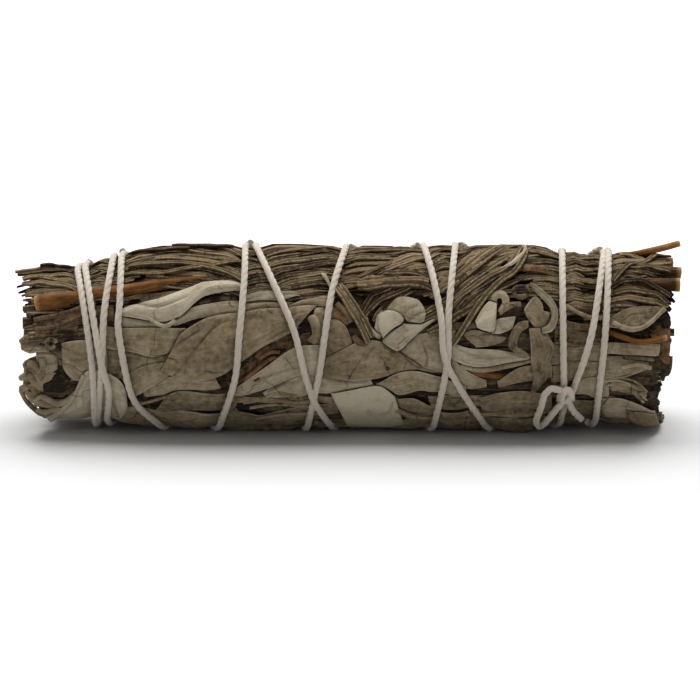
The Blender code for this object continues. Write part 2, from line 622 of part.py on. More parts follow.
def needles(count, start, end, group):
    """Narrow leaves along the bunch between two angles, half sunk, tapered into it at both ends."""
    for number in range(count):
        length = draw.uniform(18, 34)
        x = draw.uniform(-50, 50 - length)
        angle = draw.uniform(start, end)
        slope = draw.uniform(-0.16, 0.16)
        depth = draw.uniform(0.5, 0.95)
        wave = draw.uniform(-0.5, 0.5)
        points = []
        for k in range(4):
            share = k / 3
            here = x + length * share
            aside = slope * length * (share - 0.5) + wave * math.sin(4 * share)
            turn = math.radians(angle) + aside / RADIUS
            points.append(place(here, turn, depth + 0.25 * abs(2 * share - 1)))
        tube(f"needle {number}", points, NEEDLE_RADIUS, group, NEEDLE_SIDES, (0.5, 1, 1, 0.5))


def end_needles(start, end, group):
    """Narrow leaves that show at the cut ends, rooted in the core."""
    for number in range(2 * END_NEEDLES):
        side = number % 2
        outward = -1 if side == 0 else 1
        angle = math.radians(start + (end - start) * (number // 2 + 0.5) / END_NEEDLES)
        reach = draw.uniform(3.5, 11.0)
        root = CORE_ENDS[side] - outward * 4
        tip = CORE_ENDS[side] + outward * draw.uniform(2.5, 6.5)
        points = []
        for k in range(3):
            x = root + (tip - root) * k / 2
            points.append(place(x, angle, girth(x)[0] - reach - 0.6 * k))
        tube(f"end needle {number}", points, NEEDLE_RADIUS, group, NEEDLE_SIDES, (1, 1, 0.7))


def sprig(name, which, leaves, core_depth, material):
    """One sprig: a part of the core with its leaves, cut to its room and clear of its neighbours."""
    repeats = collection(name + " leaves")
    for add, *values in leaves:
        add(*values, repeats)
    room = collection(name + " room")
    wedge("room", which, room)
    inside = core("core", core_depth, cutters)
    boolean(inside, 'UNION', repeats)
    boolean(inside, 'INTERSECT', room)
    boolean(inside, 'DIFFERENCE', clearance)
    colour(as_solid(inside, name), material)
    clear(repeats)
    clear(room)


draw = random.Random(SEED)

for thing in list(bpy.data.objects):
    bpy.data.objects.remove(thing)

bunch = collection("sage bunch")
cutters = collection("cutters")
clearance = collection("clearance")

sage_grey = finish("sage grey", (0.30, 0.28, 0.23), 0.85)
sage_brown = finish("sage taupe", (0.24, 0.21, 0.16), 0.85)
needle_olive = finish("needle olive", (0.15, 0.12, 0.07), 0.8)
bark = finish("bark", (0.30, 0.13, 0.05), 0.75)
cotton = finish("cotton", (0.72, 0.66, 0.55), 0.9)

# What every sprig is kept clear of: the string, the stems, the seams and the surface below
string_pieces(GAP * math.sqrt(2), clearance)
stem_pieces(GAP, clearance)
for seam in range(4):
    seam_wall(f"seam {seam}", seam, clearance)
bpy.ops.mesh.primitive_cube_add(size=0.2, location=(0, 0, -0.1))
move_in("below", clearance)

sprig("sage_sprig_front", 3, [(front_leaves,), (cut_leaves, -70, 40)], CORE_DEPTH, sage_grey)
sprig("sage_sprig_low", 2, [(hidden_leaves,), (cut_leaves, 200, 290)], CORE_DEPTH, sage_brown)
sprig("needle_sprig_top", 0, [(needles, TOP_NEEDLES, 22, 112), (end_needles, 40, 112)],
      NEEDLE_CORE_DEPTH, needle_olive)
sprig("needle_sprig_back", 1, [(needles, BACK_NEEDLES, 112, 200), (end_needles, 112, 200)],
      NEEDLE_CORE_DEPTH, needle_olive)
clear(clearance)
clear(cutters)

for stem in stem_pieces(0, bunch):
    colour(stem, bark)

turns = collection("string turns")
first_turn = string_pieces(0, turns)
turns.objects.unlink(first_turn)
bunch.objects.link(first_turn)
boolean(first_turn, 'UNION', turns)
string = as_solid(first_turn, "string")
colour(string, cotton)
clear(turns)
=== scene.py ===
# %% [markdown]
# # A bunch of dried sage, wound with cotton string
# The real thing is a handful of leafy sage stems and needle-leaved herb, pressed into a round bunch
# as long as a finger, wound with cotton string while fresh, and dried. This lesson builds its looks
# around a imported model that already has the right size. Lengths are millimetres unless they say metres.

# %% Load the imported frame
import math
import random

import bmesh
import bpy
import numpy as np
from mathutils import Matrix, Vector


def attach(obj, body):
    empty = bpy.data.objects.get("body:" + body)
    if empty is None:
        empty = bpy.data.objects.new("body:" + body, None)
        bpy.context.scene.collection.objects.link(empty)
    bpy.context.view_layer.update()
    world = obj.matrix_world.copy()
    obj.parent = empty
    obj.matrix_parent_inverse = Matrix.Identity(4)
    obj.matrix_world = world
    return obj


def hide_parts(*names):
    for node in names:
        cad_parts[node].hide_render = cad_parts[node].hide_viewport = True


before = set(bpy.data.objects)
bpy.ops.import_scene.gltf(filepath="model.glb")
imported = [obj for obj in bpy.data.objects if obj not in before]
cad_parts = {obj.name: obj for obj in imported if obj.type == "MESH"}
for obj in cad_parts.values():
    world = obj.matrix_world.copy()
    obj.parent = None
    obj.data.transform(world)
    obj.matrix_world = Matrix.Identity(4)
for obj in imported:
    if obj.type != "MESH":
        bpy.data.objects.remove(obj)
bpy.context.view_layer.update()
MM = 0.001

# %% [markdown]
# ## The round of the bunch
# Everything lies on one round body that swells and narrows along its length. A point is given by x
# along the bunch, an angle that is 0 at the front and grows upwards, and a depth inside the outline.
# What the photograph shows is drawn on the front view, and `in_front` wraps it on to the round.

# %% Points on the round
RADIUS = 14.65
HALF_FLAT = 4.0
AXIS_HEIGHT = math.sqrt(RADIUS ** 2 - HALF_FLAT ** 2)
VIEW_TILT = math.radians(12)
VIEW_DISTANCE = 450.0
NEAR_RIM = 0.985

# Along the bunch: x, its radius, and how far its axis drops
GIRTH = np.array([
    (-54, 10.8, -1.5), (-52, 10.8, -1.5), (-47, 12.0, -1.2), (-42, 12.3, -0.9), (-37, 13.4, -0.4),
    (-30, 14.4, -0.1), (-22, 14.8, 0.0), (-16, 14.6, 0.0), (-8, 14.8, 0.0), (0, 14.4, 0.0), (6, 14.5, 0.0),
    (13, 14.7, 0.0), (28, 14.8, 0.0), (33.5, 13.8, 0.0), (41, 13.5, 0.0), (46, 13.6, 0.0), (52, 13.3, 0.0),
])


def girth(x):
    """The radius of the bunch and the drop of its axis at places along it."""
    return np.interp(x, GIRTH[:, 0], GIRTH[:, 1]), np.interp(x, GIRTH[:, 0], GIRTH[:, 2])


def place(x, angle, depth):
    """Points in metres from x, angle in radians and depth, all arrays of one shape."""
    radius, drop = girth(x)
    reach = radius - depth
    height = AXIS_HEIGHT + drop + reach * np.sin(angle)
    return np.stack([x + 0 * angle, -reach * np.cos(angle), height], -1) * MM


def in_front(x, h, depth=0.0):
    """The true x and the angle of points drawn on the front view."""
    radius, drop = girth(x)
    reach = radius - depth
    rise = np.clip((h - drop) / reach, -NEAR_RIM, NEAR_RIM)
    nearness = 1 - reach * np.sqrt(1 - rise * rise) / VIEW_DISTANCE
    return x * nearness, VIEW_TILT + np.arcsin(rise * nearness)


def smooth_line(points, share):
    """Places along a smooth line through points, at shares from 0 to 1 or at a number of even steps."""
    if isinstance(share, int):
        share = np.linspace(0, 1, share)
    points = np.array(points, float)
    spot = np.clip(share, 0, 1) * (len(points) - 1)
    first = np.minimum(spot.astype(int), len(points) - 2)
    t = (spot - first)[..., None]
    a, b, c, d = (points[np.clip(first + k, 0, len(points) - 1)] for k in (-1, 0, 1, 2))
    slope, bend, twist = c - a, 2 * a - 5 * b + 4 * c - d, 3 * b - a - 3 * c + d
    return 0.5 * (2 * b + slope * t + bend * t ** 2 + twist * t ** 3)


print("bunch is", 2 * RADIUS, "mm thick, axis", round(AXIS_HEIGHT, 2), "mm up")

# %% [markdown]
# ## Where the string runs
# The string comes before the leaves, because it presses a groove into everything under it. Each turn
# goes down the front and up behind to the top of the next. `pinch` says how far it presses. The first
# turn starts at the knot, low on the front, and the last one ends there.

# %% The turns of the string
STRING_RADIUS = 0.56
STRING_DEPTH = 0.22
TURN_TOP = 102.0
FULL_TURN = np.arange(TURN_TOP, TURN_TOP - 360.1, -2.0)

# Each pass down the front, as x and h on the front view
STRING_PASSES = [
    [(37.6, 14.0), (37.6, 0), (37.6, -13.6)],
    [(40.2, 13.6), (38.4, 1), (35.3, -8.6), (34, -11), (33.2, -13.8)],
    [(16.8, 14.6), (15.8, 4), (15.7, -3), (14.9, -8), (13.4, -14.2)],
    [(-0.4, 14.4), (-2.4, 8), (-3.6, 1), (-4.6, -6), (-6.4, -14.2)],
    [(-16.2, 14.8), (-16.4, 9), (-17.2, 0), (-17.9, -7), (-20.2, -14.1)],
    [(-37.0, 12.6), (-38.4, 4), (-38.8, -4), (-39.4, -12.8)],
    [(-42.6, 10.6), (-41.4, 3), (-40.3, -5), (-39.9, -12.7)],
    [(-41.4, 10.9), (-40.2, 3), (-38.9, -4), (-37.7, -8.8), (-38.0, -13.0)],
    [(-35.7, 12.4), (-36.0, 5), (-36.2, 1), (-34.8, -7), (-33.3, -10.8), (-30, -13.8)],
    [(-14.6, 14.7), (-12, 9), (-8.6, 1), (-6.6, -7), (-4.4, -12), (-2.6, -14.3)],
    [(11.8, 14.8), (13.2, 10), (14.6, 3), (15.1, -3), (17.4, -8), (21.4, -14)],
    [(40.9, 13.5), (40.7, 5), (40.1, -3), (38.9, -13.0)],
    [(33.6, 13.7), (33.8, 0), (33.9, -8.6)],
]


def string_table():
    """The x of every turn at each angle of a full turn, and the angle where its front pass ends."""
    drawn = []
    for line in STRING_PASSES:
        x, angle = in_front(*smooth_line(line, 41).T)
        drawn.append((np.degrees(angle), x))
    rows = []
    for turn, (angle, x) in enumerate(drawn):
        next_angle, next_x = drawn[(turn + 1) % len(drawn)]
        rows.append(np.interp(-FULL_TURN, -np.append(angle, next_angle[0] - 360), np.append(x, next_x[0])))
    return np.array(rows), [angle[-1] for angle, x in drawn]


STRING_X, STRING_ENDS = string_table()


def pinch(x, angle, deep=0.55, wide=1.5):
    """How much deeper a point lies because the string presses it in."""
    turned = np.degrees(angle) % 360
    turned = np.where(turned > TURN_TOP, turned - 360, turned)
    press = np.zeros(np.shape(x + angle))
    last = len(STRING_X) - 1
    for turn, row in enumerate(STRING_X):
        away = np.interp(-turned, -FULL_TURN, row) - x
        held = turned > STRING_ENDS[turn] if turn == last else 1.0
        press = np.maximum(press, held * np.exp(-(away / wide) ** 2))
    return deep * press


print("passes of string:", len(STRING_X))

# %% [markdown]
# ## Sheets with two sides
# A dried leaf is a thin sheet with a real edge, so each one is built as a closed shell: an outer face,
# an inner face and a rim. `Pile` gathers many shells into one mesh, and keeps for every point what its
# material reads: its tone, how near the rim it is and how brown, then its place along and across the
# leaf and how much painted shade its neighbours lay on it.


# %% Shells gathered in a pile
def ripple(u, v, seed, waves=6, reach=2.6):
    """Soft seeded waves over a sheet, about -1 to 1, from places in their own wavelengths."""
    draw = np.random.RandomState(seed)
    total = 0
    for k in range(waves):
        turn, phase = draw.uniform(0, math.tau, 2)
        pitch = draw.uniform(0.6, reach)
        total = total + np.sin(pitch * (u * math.cos(turn) + v * math.sin(turn)) + phase) / math.sqrt(waves)
    return total


def grid(rows, columns, across=(0, 1)):
    """Places along and across a sheet, for a number of steps each way."""
    return np.meshgrid(np.linspace(0, 1, rows + 1), np.linspace(*across, columns + 1), indexing='ij')


def add_object(name, data):
    """A new object in the scene, at the origin."""
    thing = bpy.data.objects.new(name, data)
    bpy.context.scene.collection.objects.link(thing)
    return thing


def keep_numbers(mesh, title, rows):
    """Keep three numbers for every point of a mesh."""
    layer = mesh.attributes.new(title, 'FLOAT_VECTOR', 'POINT')
    layer.data.foreach_set("vector", np.asarray(rows).astype(np.float32).ravel())


class Pile:
    """Closed sheets gathered for one mesh."""

    LOWEST_OUTSIDE = 0.03
    LOWEST_INSIDE = 0.02
    SHARP = math.radians(50)

    def __init__(self):
        self.points, self.faces, self.shades, self.places, self.count = [], [], [], [], 0

    def add_sheet(self, outer, thickness, shade, spot):
        """A closed sheet under a grid of outer points in metres; shade and spot are three numbers each."""
        rows, columns = outer.shape[:2]
        outer[..., 2] = np.maximum(outer[..., 2], self.LOWEST_OUTSIDE * MM)
        normal = np.cross(np.gradient(outer, axis=0), np.gradient(outer, axis=1))
        normal /= np.linalg.norm(normal, axis=-1, keepdims=True) + 1e-12
        outward = outer - np.array([0, 0, AXIS_HEIGHT * MM])
        outward[..., 0] = 0
        flip = (normal * outward).sum() < 0
        if flip:
            normal = -normal
        inner = outer - normal * np.broadcast_to(thickness, (rows, columns))[..., None] * MM
        inner[..., 2] = np.maximum(inner[..., 2], self.LOWEST_INSIDE * MM)
        size = rows * columns
        index = np.arange(size).reshape(rows, columns)
        corners = (index[:-1, :-1], index[1:, :-1], index[1:, 1:], index[:-1, 1:])
        quads = np.stack(corners, -1).reshape(-1, 4)
        rim = np.concatenate([index[:, 0], index[-1, 1:], index[-2::-1, -1], index[0, -2:0:-1]])
        after = np.roll(rim, -1)
        wall = np.stack([rim, rim + size, after + size, after], -1)
        faces = np.concatenate([quads, quads[:, ::-1] + size, wall])
        if flip:
            faces = faces[:, ::-1]
        self.faces.append(faces + self.count)
        self.points.append(np.concatenate([outer.reshape(-1, 3), inner.reshape(-1, 3)]))
        for store, numbers in ((self.shades, shade), (self.places, spot)):
            flat = np.stack([np.broadcast_to(part, (rows, columns)) for part in numbers], -1).reshape(-1, 3)
            store.append(np.concatenate([flat, flat]))
        self.count += 2 * size

    def as_object(self, name, material):
        """The pile as one mesh object with smooth faces and its two attributes."""
        mesh = bpy.data.meshes.new(name)
        points = np.concatenate(self.points)
        faces = np.concatenate(self.faces)
        mesh.vertices.add(len(points))
        mesh.vertices.foreach_set("co", points.astype(np.float32).ravel())
        mesh.loops.add(faces.size)
        mesh.loops.foreach_set("vertex_index", faces.astype(np.int32).ravel())
        mesh.polygons.add(len(faces))
        mesh.polygons.foreach_set("loop_start", np.arange(0, faces.size, 4, dtype=np.int32))
        mesh.update(calc_edges=True)
        mesh.validate()
        mesh.shade_smooth()
        mesh.set_sharp_from_angle(angle=self.SHARP)
        keep_numbers(mesh, "leaf_shade", np.concatenate(self.shades))
        keep_numbers(mesh, "leaf_place", np.concatenate(self.places))
        mesh.materials.append(material)
        print(name, "has", 2 * len(faces), "triangles")
        return add_object(name, mesh)


# %% [markdown]
# ## Node helpers
# Trees of nodes are easier to read when each node is one line, so `node` makes one and fills its inputs.
# A `Number` wraps a socket, so that plain sums such as `a * 0.5 + b` make the Math nodes for it.


# %% Make nodes in one line each
def fill(tree, socket, term):
    """Link an input to another socket, or set it to a plain value."""
    term = term.socket if isinstance(term, Number) else term
    if isinstance(term, bpy.types.NodeSocket):
        tree.links.new(term, socket)
    else:
        socket.default_value = term


def node(tree, kind, inputs=None, **settings):
    """A new node with its settings and its inputs."""
    made = tree.nodes.new(kind)
    for key, value in settings.items():
        setattr(made, key, value)
    for key, term in (inputs or {}).items():
        fill(tree, made.inputs[key], term)
    return made


class Number:
    """A socket that plain sums can be made with."""

    def __init__(self, tree, socket):
        self.tree, self.socket = tree, socket

    def maths(self, operation, *terms):
        """The result of a Math node."""
        made = node(self.tree, "ShaderNodeMath", dict(enumerate(terms)), operation=operation)
        return Number(self.tree, made.outputs[0])

    def clamped(self):
        """This result of a sum, kept between 0 and 1."""
        self.socket.node.use_clamp = True
        return self

    def __add__(self, other):
        return self.maths('ADD', self, other)

    def __sub__(self, other):
        return self.maths('SUBTRACT', self, other)

    def __rsub__(self, other):
        return self.maths('SUBTRACT', other, self)

    def __mul__(self, other):
        return self.maths('MULTIPLY', self, other)

    def __truediv__(self, other):
        return self.maths('DIVIDE', self, other)

    def __rtruediv__(self, other):
        return self.maths('DIVIDE', other, self)

    def __abs__(self):
        return self.maths('ABSOLUTE', self)

    def sine(self):
        """The sine of this number in radians."""
        return self.maths('SINE', self)


def number(tree, kind, inputs=None, output=0, **settings):
    """One output of a new node, as a number."""
    return Number(tree, node(tree, kind, inputs, **settings).outputs[output])


def vector(tree, operation, first, second=None, scale=None):
    """The result of a sum of vectors."""
    terms = {key: term for key, term in ((0, first), (1, second), ("Scale", scale)) if term is not None}
    return node(tree, "ShaderNodeVectorMath", terms, operation=operation).outputs[0]


def colour_mix(tree, factor, first, second, blend='MIX'):
    """A blend of two colours, each a socket or four numbers."""
    return node(tree, "ShaderNodeMix", {0: factor, 6: first, 7: second}, data_type='RGBA',
                blend_type=blend).outputs[2]


def ramp(tree, value, *stops):
    """A colour by a number, from stops of a position and a colour."""
    made = node(tree, "ShaderNodeValToRGB", {0: value})
    ends = made.color_ramp.elements
    ends[0].position, ends[0].color = stops[0]
    ends[1].position, ends[1].color = stops[-1]
    for position, colour in stops[1:-1]:
        ends.new(position).color = colour
    return made.outputs["Color"]


def shader_group(name, inputs, outputs):
    """An empty shader node group: its tree, its inputs as numbers, and the node that takes its outputs."""
    tree = bpy.data.node_groups.new(name, "ShaderNodeTree")
    for title, value in inputs.items():
        made = tree.interface.new_socket(title, in_out='INPUT', socket_type='NodeSocketFloat')
        made.default_value = value
    for title in outputs:
        tree.interface.new_socket(title, in_out='OUTPUT', socket_type='NodeSocketFloat')
    given = tree.nodes.new("NodeGroupInput").outputs
    return tree, [Number(tree, given[title]) for title in inputs], tree.nodes.new("NodeGroupOutput")


def new_material(name, constants):
    """A material, its tree and its shader, with the values that are the same all over the surface."""
    material = bpy.data.materials.new(name)
    material.use_nodes = True
    skin = material.node_tree.nodes["Principled BSDF"]
    for title, value in constants.items():
        skin.inputs[title].default_value = value
    return material, material.node_tree, skin


def finish_skin(tree, skin, colour, roughness, height, strength, distance):
    """Give the shader its colour, its roughness and a bump."""
    bump = node(tree, "ShaderNodeBump", {"Strength": strength, "Distance": distance, "Height": height})
    for title, term in (("Base Color", colour), ("Roughness", roughness), ("Normal", bump.outputs[0])):
        fill(tree, skin.inputs[title], term)


def attribute(tree, title):
    """The three numbers that a mesh keeps at every point."""
    kept = node(tree, "ShaderNodeAttribute", attribute_name=title).outputs["Vector"]
    return [Number(tree, part) for part in node(tree, "ShaderNodeSeparateXYZ", {0: kept}).outputs]


# %% [markdown]
# ## Effects that several finishes share
# Dried plants are blotched, with patches that lie anywhere on them, so the blotches read plain object
# coordinates. Their surface is felted or grained much finer than that. Old leaves also crack and fold
# in thin lines, here the borders of swayed cells, which fade in and out; the sage material paints them
# darker, painted shade in the creases. Each effect is a group with its size as a named input, and each
# material sets its own.

# %% The blotches, the fine grain and the creases
METRE = 1000.0
dry_blotches, (size, contrast), ends = shader_group(
    "dry blotches", {"Size mm": 3.0, "Contrast": 1.0}, ["Mask"])
spot = node(dry_blotches, "ShaderNodeTexCoord").outputs["Object"]
cloud = number(dry_blotches, "ShaderNodeTexNoise", {
    "Vector": spot, "Scale": METRE / size, "Detail": 5.0, "Roughness": 0.6, "Distortion": 0.3}, "Fac")
fill(dry_blotches, ends.inputs["Mask"], ((cloud - 0.5) * contrast + 0.5).clamped())

fine_grain, (size, pebbles), ends = shader_group(
    "fine grain", {"Size mm": 0.35, "Pebbles": 0.6}, ["Height"])
spot = node(fine_grain, "ShaderNodeTexCoord").outputs["Object"]
scale = METRE / size
pebble = number(fine_grain, "ShaderNodeTexVoronoi", {"Vector": spot, "Scale": scale}, "Distance",
                feature='SMOOTH_F1')
dust = number(fine_grain, "ShaderNodeTexNoise", {
    "Vector": spot, "Scale": scale * 1.7, "Detail": 4.0, "Roughness": 0.7}, "Fac")
fill(fine_grain, ends.inputs["Height"], dust - pebble * pebbles)

creases, (size, width), ends = shader_group("creases", {"Size mm": 6.0, "Width": 0.022}, ["Mask"])
spot = node(creases, "ShaderNodeTexCoord").outputs["Object"]
scale = METRE / size
sway = node(creases, "ShaderNodeTexNoise", {"Vector": spot, "Scale": scale, "Detail": 3.0})
moved = vector(creases, 'ADD', vector(creases, 'SCALE', spot, scale=scale), sway.outputs["Color"])
border = number(creases, "ShaderNodeTexVoronoi", {"Vector": moved, "Scale": 1.0}, "Distance",
                feature='DISTANCE_TO_EDGE')
here = ((Number(creases, sway.outputs["Fac"]) - 0.5) * 9.0).clamped()
fill(creases, ends.inputs["Mask"], (1.0 - border / width).clamped() * here)


def blotched(tree, size, contrast):
    """The mask of the dry blotches in a material."""
    return number(tree, "ShaderNodeGroup", {"Size mm": size, "Contrast": contrast}, node_tree=dry_blotches)


def grained(tree, size, pebbles):
    """The height of the fine grain in a material."""
    return number(tree, "ShaderNodeGroup", {"Size mm": size, "Pebbles": pebbles}, node_tree=fine_grain)


print("groups:", [group.name for group in bpy.data.node_groups])

# %% [markdown]
# ## Sage leaf
# A sage leaf is felted with pale hairs over grey-green or taupe skin. A midrib and finer side veins run
# through it, and its edges, where the hairs catch light, are painted paler as a painted highlight. The
# veins follow the leaf, so their group reads the leaf's own places along and across, not object coordinates.

# %% The veins of a leaf
leaf_veins, (along, across, spacing), ends = shader_group(
    "leaf veins", {"Along mm": 0.0, "Across": 0.0, "Spacing mm": 1.7}, ["Height", "Streak"])
side = abs(across)
slanted = along / spacing - side * 1.5
thin = (1.0 - abs((slanted * math.pi).sine()) * 4.0).clamped()
midrib = (1.0 - side * 9.0).clamped()
fill(leaf_veins, ends.inputs["Height"], midrib + thin * 0.45)
drawn_out = node(leaf_veins, "ShaderNodeCombineXYZ", {0: along * 0.22, 1: across * 4.5}).outputs[0]
fill(leaf_veins, ends.inputs["Streak"], number(leaf_veins, "ShaderNodeTexNoise", {
    "Vector": drawn_out, "Scale": 1.0, "Detail": 5.0, "Roughness": 0.6}, "Fac"))

# %% The sage material
RUST_DARK = (0.020, 0.008, 0.003, 1)
RUST = (0.235, 0.105, 0.036, 1)
SAGE_GREEN = (0.130, 0.118, 0.062, 1)


def sage_material(name, dark, taupe, pale):
    """Dried sage: from dark through taupe to pale by each leaf's tone, blotched, veined and creased, with
    painted shade and painted highlights.
    """
    material, tree, skin = new_material(name, {
        "Sheen Weight": 0.06, "Sheen Roughness": 0.6, "Specular IOR Level": 0.12})
    tone, rim, brownness = attribute(tree, "leaf_shade")
    along, across, shadow = attribute(tree, "leaf_place")
    broad = blotched(tree, 5.0, 2.0)
    small = blotched(tree, 0.9, 2.2)
    veins = node(tree, "ShaderNodeGroup", {"Along mm": along, "Across": across}, node_tree=leaf_veins)
    ribs, streak = (Number(tree, socket) for socket in veins.outputs)
    crease = number(tree, "ShaderNodeGroup", {"Size mm": 6.5, "Width": 0.02}, node_tree=creases)
    speckle = (small - 0.5) * 0.32
    lines = (streak - 0.5) * 0.55
    # Rims are lifted paler, a painted highlight, and creases are made darker, painted shade in them
    lit = tone + (broad - 0.5) * 0.42 + lines + (speckle + (rim * 0.18 - crease * 0.3))
    skinned = ramp(tree, lit, (0.08, dark), (0.46, taupe), (0.95, pale))
    rust = colour_mix(tree, (lines * 3.2 + speckle * 2.6 + 0.1 + tone).clamped(), RUST_DARK, RUST)
    rusty = colour_mix(tree, (brownness * (broad + 0.15)).clamped(), skinned, rust)
    green = (small * 0.22 * (lit * 2.2).clamped()).clamped()
    tinted = colour_mix(tree, green, rusty, SAGE_GREEN)
    # The painted shade that neighbouring leaves and folds lay on the leaf darkens its colour
    colour = colour_mix(tree, 1.0, tinted, (1.0 - shadow * 0.72).clamped(), 'MULTIPLY')
    height = grained(tree, 0.30, 0.7) * 0.6 + ribs * 0.35 + (streak * 1.6 - crease) + small * 0.6
    finish_skin(tree, skin, colour, broad * 0.18 + 0.78, height, 0.7, 0.2 * MM)
    return material


sage_front = sage_material("sage grey-green", (0.011, 0.006, 0.002, 1), (0.226, 0.171, 0.099, 1),
                           (0.50, 0.435, 0.32, 1))
# A darker copy of the sage finish: painted shade for the leaves packed inside, the core and the cut ends
sage_inner_shaded = sage_material("sage inner with painted shade", (0.007, 0.004, 0.002, 1), (0.080, 0.060, 0.033, 1),
                           (0.28, 0.235, 0.155, 1))

# %% [markdown]
# ## Broad leaves on the front
# Each leaf that shows on the front is drawn by its upper and its lower edge, as it lies pressed on the
# bunch. Between the edges a fine grid is laid on the round. Its middle stands up, its edges curl in or
# out, soft waves wrinkle it along its length, and the string pinches it. Where leaves lie over it, it
# is pressed down under them, with a seam of painted shade round them, and drawn folds cross the
# largest ones with a groove and a line of painted shade.

# %% How leaves settle under their neighbours
CURL = -0.12
UNDER = 0.44
OUTLINE_STEPS = 24


def leaf(upper, lower, depth, tone, **more):
    """A row of the table: a leaf's drawn edges, how deep it lies and its tone from dark to pale."""
    return dict(upper=upper, lower=lower, depth=depth, tone=tone, **more)


def outline_of(row):
    """The drawn outline of a leaf as a closed line."""
    return np.concatenate([smooth_line(row["upper"], OUTLINE_STEPS),
                           smooth_line(row["lower"], OUTLINE_STEPS)[::-1]])


def distance(spots, start, finish):
    """How far spots are from the nearest of some straight steps."""
    step = finish - start
    gap = spots[..., None, :] - start
    share = np.clip((gap * step).sum(-1) / ((step ** 2).sum(-1) + 1e-9), 0, 1)
    return np.sqrt(((gap - share[..., None] * step) ** 2).sum(-1)).min(-1)


def inside(spots, start, finish):
    """Which spots lie inside a closed line given by its steps."""
    h = spots[..., None, 1]
    rise = finish[:, 1] - start[:, 1]
    rise = np.where(np.abs(rise) < 1e-6, 1e-6, rise)
    crossing = start[:, 0] + (h - start[:, 1]) / rise * (finish[:, 0] - start[:, 0])
    passed = ((start[:, 1] > h) != (finish[:, 1] > h)) & (spots[..., None, 0] < crossing)
    return passed.sum(-1) % 2 == 1


def settle(spots, deep, which, leaves):
    """Press a leaf down under the leaves over it and in a moat round them; returns depth and painted shade.
    """
    shade = np.zeros(deep.shape)
    uneven = np.clip(0.55 + 0.6 * ripple(spots[..., 0] / 2.4, spots[..., 1] / 2.4, 17), 0.08, 1)
    low, high = spots.reshape(-1, 2).min(0) - 1.5, spots.reshape(-1, 2).max(0) + 1.5

    def far(line):
        return (line.min(0) > high).any() or (line.max(0) < low).any()

    for other, cover in enumerate(leaves):
        line = outline_of(cover)
        if (cover["depth"], -other) >= (leaves[which]["depth"], -which) or far(line):
            continue
        finish = np.roll(line, -1, axis=0)
        gap = np.where(inside(spots, line, finish), 0, distance(spots, line, finish))
        floor = cover["depth"] + UNDER - min(cover.get("low", CURL), cover.get("high", CURL), 0)
        deep = deep + (np.maximum(deep, floor) - deep) * np.exp(-(gap / (0.14 + 0.15 * uneven)) ** 2)
        # Painted shade in a seam round each leaf that lies over this one
        shade = np.maximum(shade, np.exp(-(gap / 0.20) ** 2))
    for fold in FOLDS:
        line = smooth_line(fold, 12)
        if far(line):
            continue
        gap = distance(spots, line[:-1], line[1:])
        deep = deep + 0.25 * np.exp(-(gap / 0.27) ** 2)
        # Painted shade along each fold
        shade = np.maximum(shade, 0.8 * np.exp(-(gap / 0.17) ** 2))
    return deep, shade * uneven


# %% A leaf between two drawn edges
def pressed(x, angle, deep):
    """A depth with the string's groove in it, less so for what lies deep already."""
    return deep + pinch(x, angle) * np.clip(1.2 - deep, 0.1, 1.2)


def drawn_leaf(pile, which, leaves, upper, lower, depth, tone, brown=0.0, low=CURL, high=CURL, crown=0.15,
               wrinkle=0.14, seed=0, thickness=0.24, fine=0.26):
    """Lay one leaf in the pile; low and high curl its edges out where they are above 0."""
    top = smooth_line(upper, OUTLINE_STEPS)
    bottom = smooth_line(lower, OUTLINE_STEPS)
    length = np.linalg.norm(np.diff((top + bottom) / 2, axis=0), axis=1).sum()
    width = np.linalg.norm(top - bottom, axis=1).max()
    u, v = grid(max(8, round(length / fine)), max(6, round(width / (fine * 0.9))))
    v = 0.5 + 0.5 * np.sin((v - 0.5) * math.pi) * 0.6 + (v - 0.5) * 0.4
    high_edge = smooth_line(upper, u[:, 0])
    low_edge = smooth_line(lower, u[:, 0])
    high_edge[:, 1] += 0.07 * ripple(u[:, 0] * length / 1.6, 0, seed + 50)
    low_edge[:, 1] += 0.07 * ripple(u[:, 0] * length / 1.6, 0, seed + 90)
    drawn = low_edge[:, None] * (1 - v[..., None]) + high_edge[:, None] * v[..., None]
    side = 2 * v - 1
    end = np.abs(2 * u - 1)
    deep = depth - crown * (1 - side ** 2) - np.where(side < 0, low, high) * np.abs(side) ** 4
    deep = deep + wrinkle * ripple(u * length / 5.0, v * width / 0.9, seed)
    deep = deep + 0.4 * wrinkle * ripple(u * length / 1.5, v * width / 1.1, seed + 7) + 0.3 * end ** 12
    deep, shade = settle(drawn, deep, which, leaves)
    x, angle = in_front(drawn[..., 0], drawn[..., 1])
    edge = np.maximum(np.abs(side) ** 12, end ** 30)
    thin = thickness * (1 - 0.6 * edge)
    # The third number of the leaf's place is its painted shade, which darkens the sage colour
    pile.add_sheet(place(x, angle, pressed(x, angle, deep)), thin, (tone, edge, brown),
                   (u * length, side, shade))


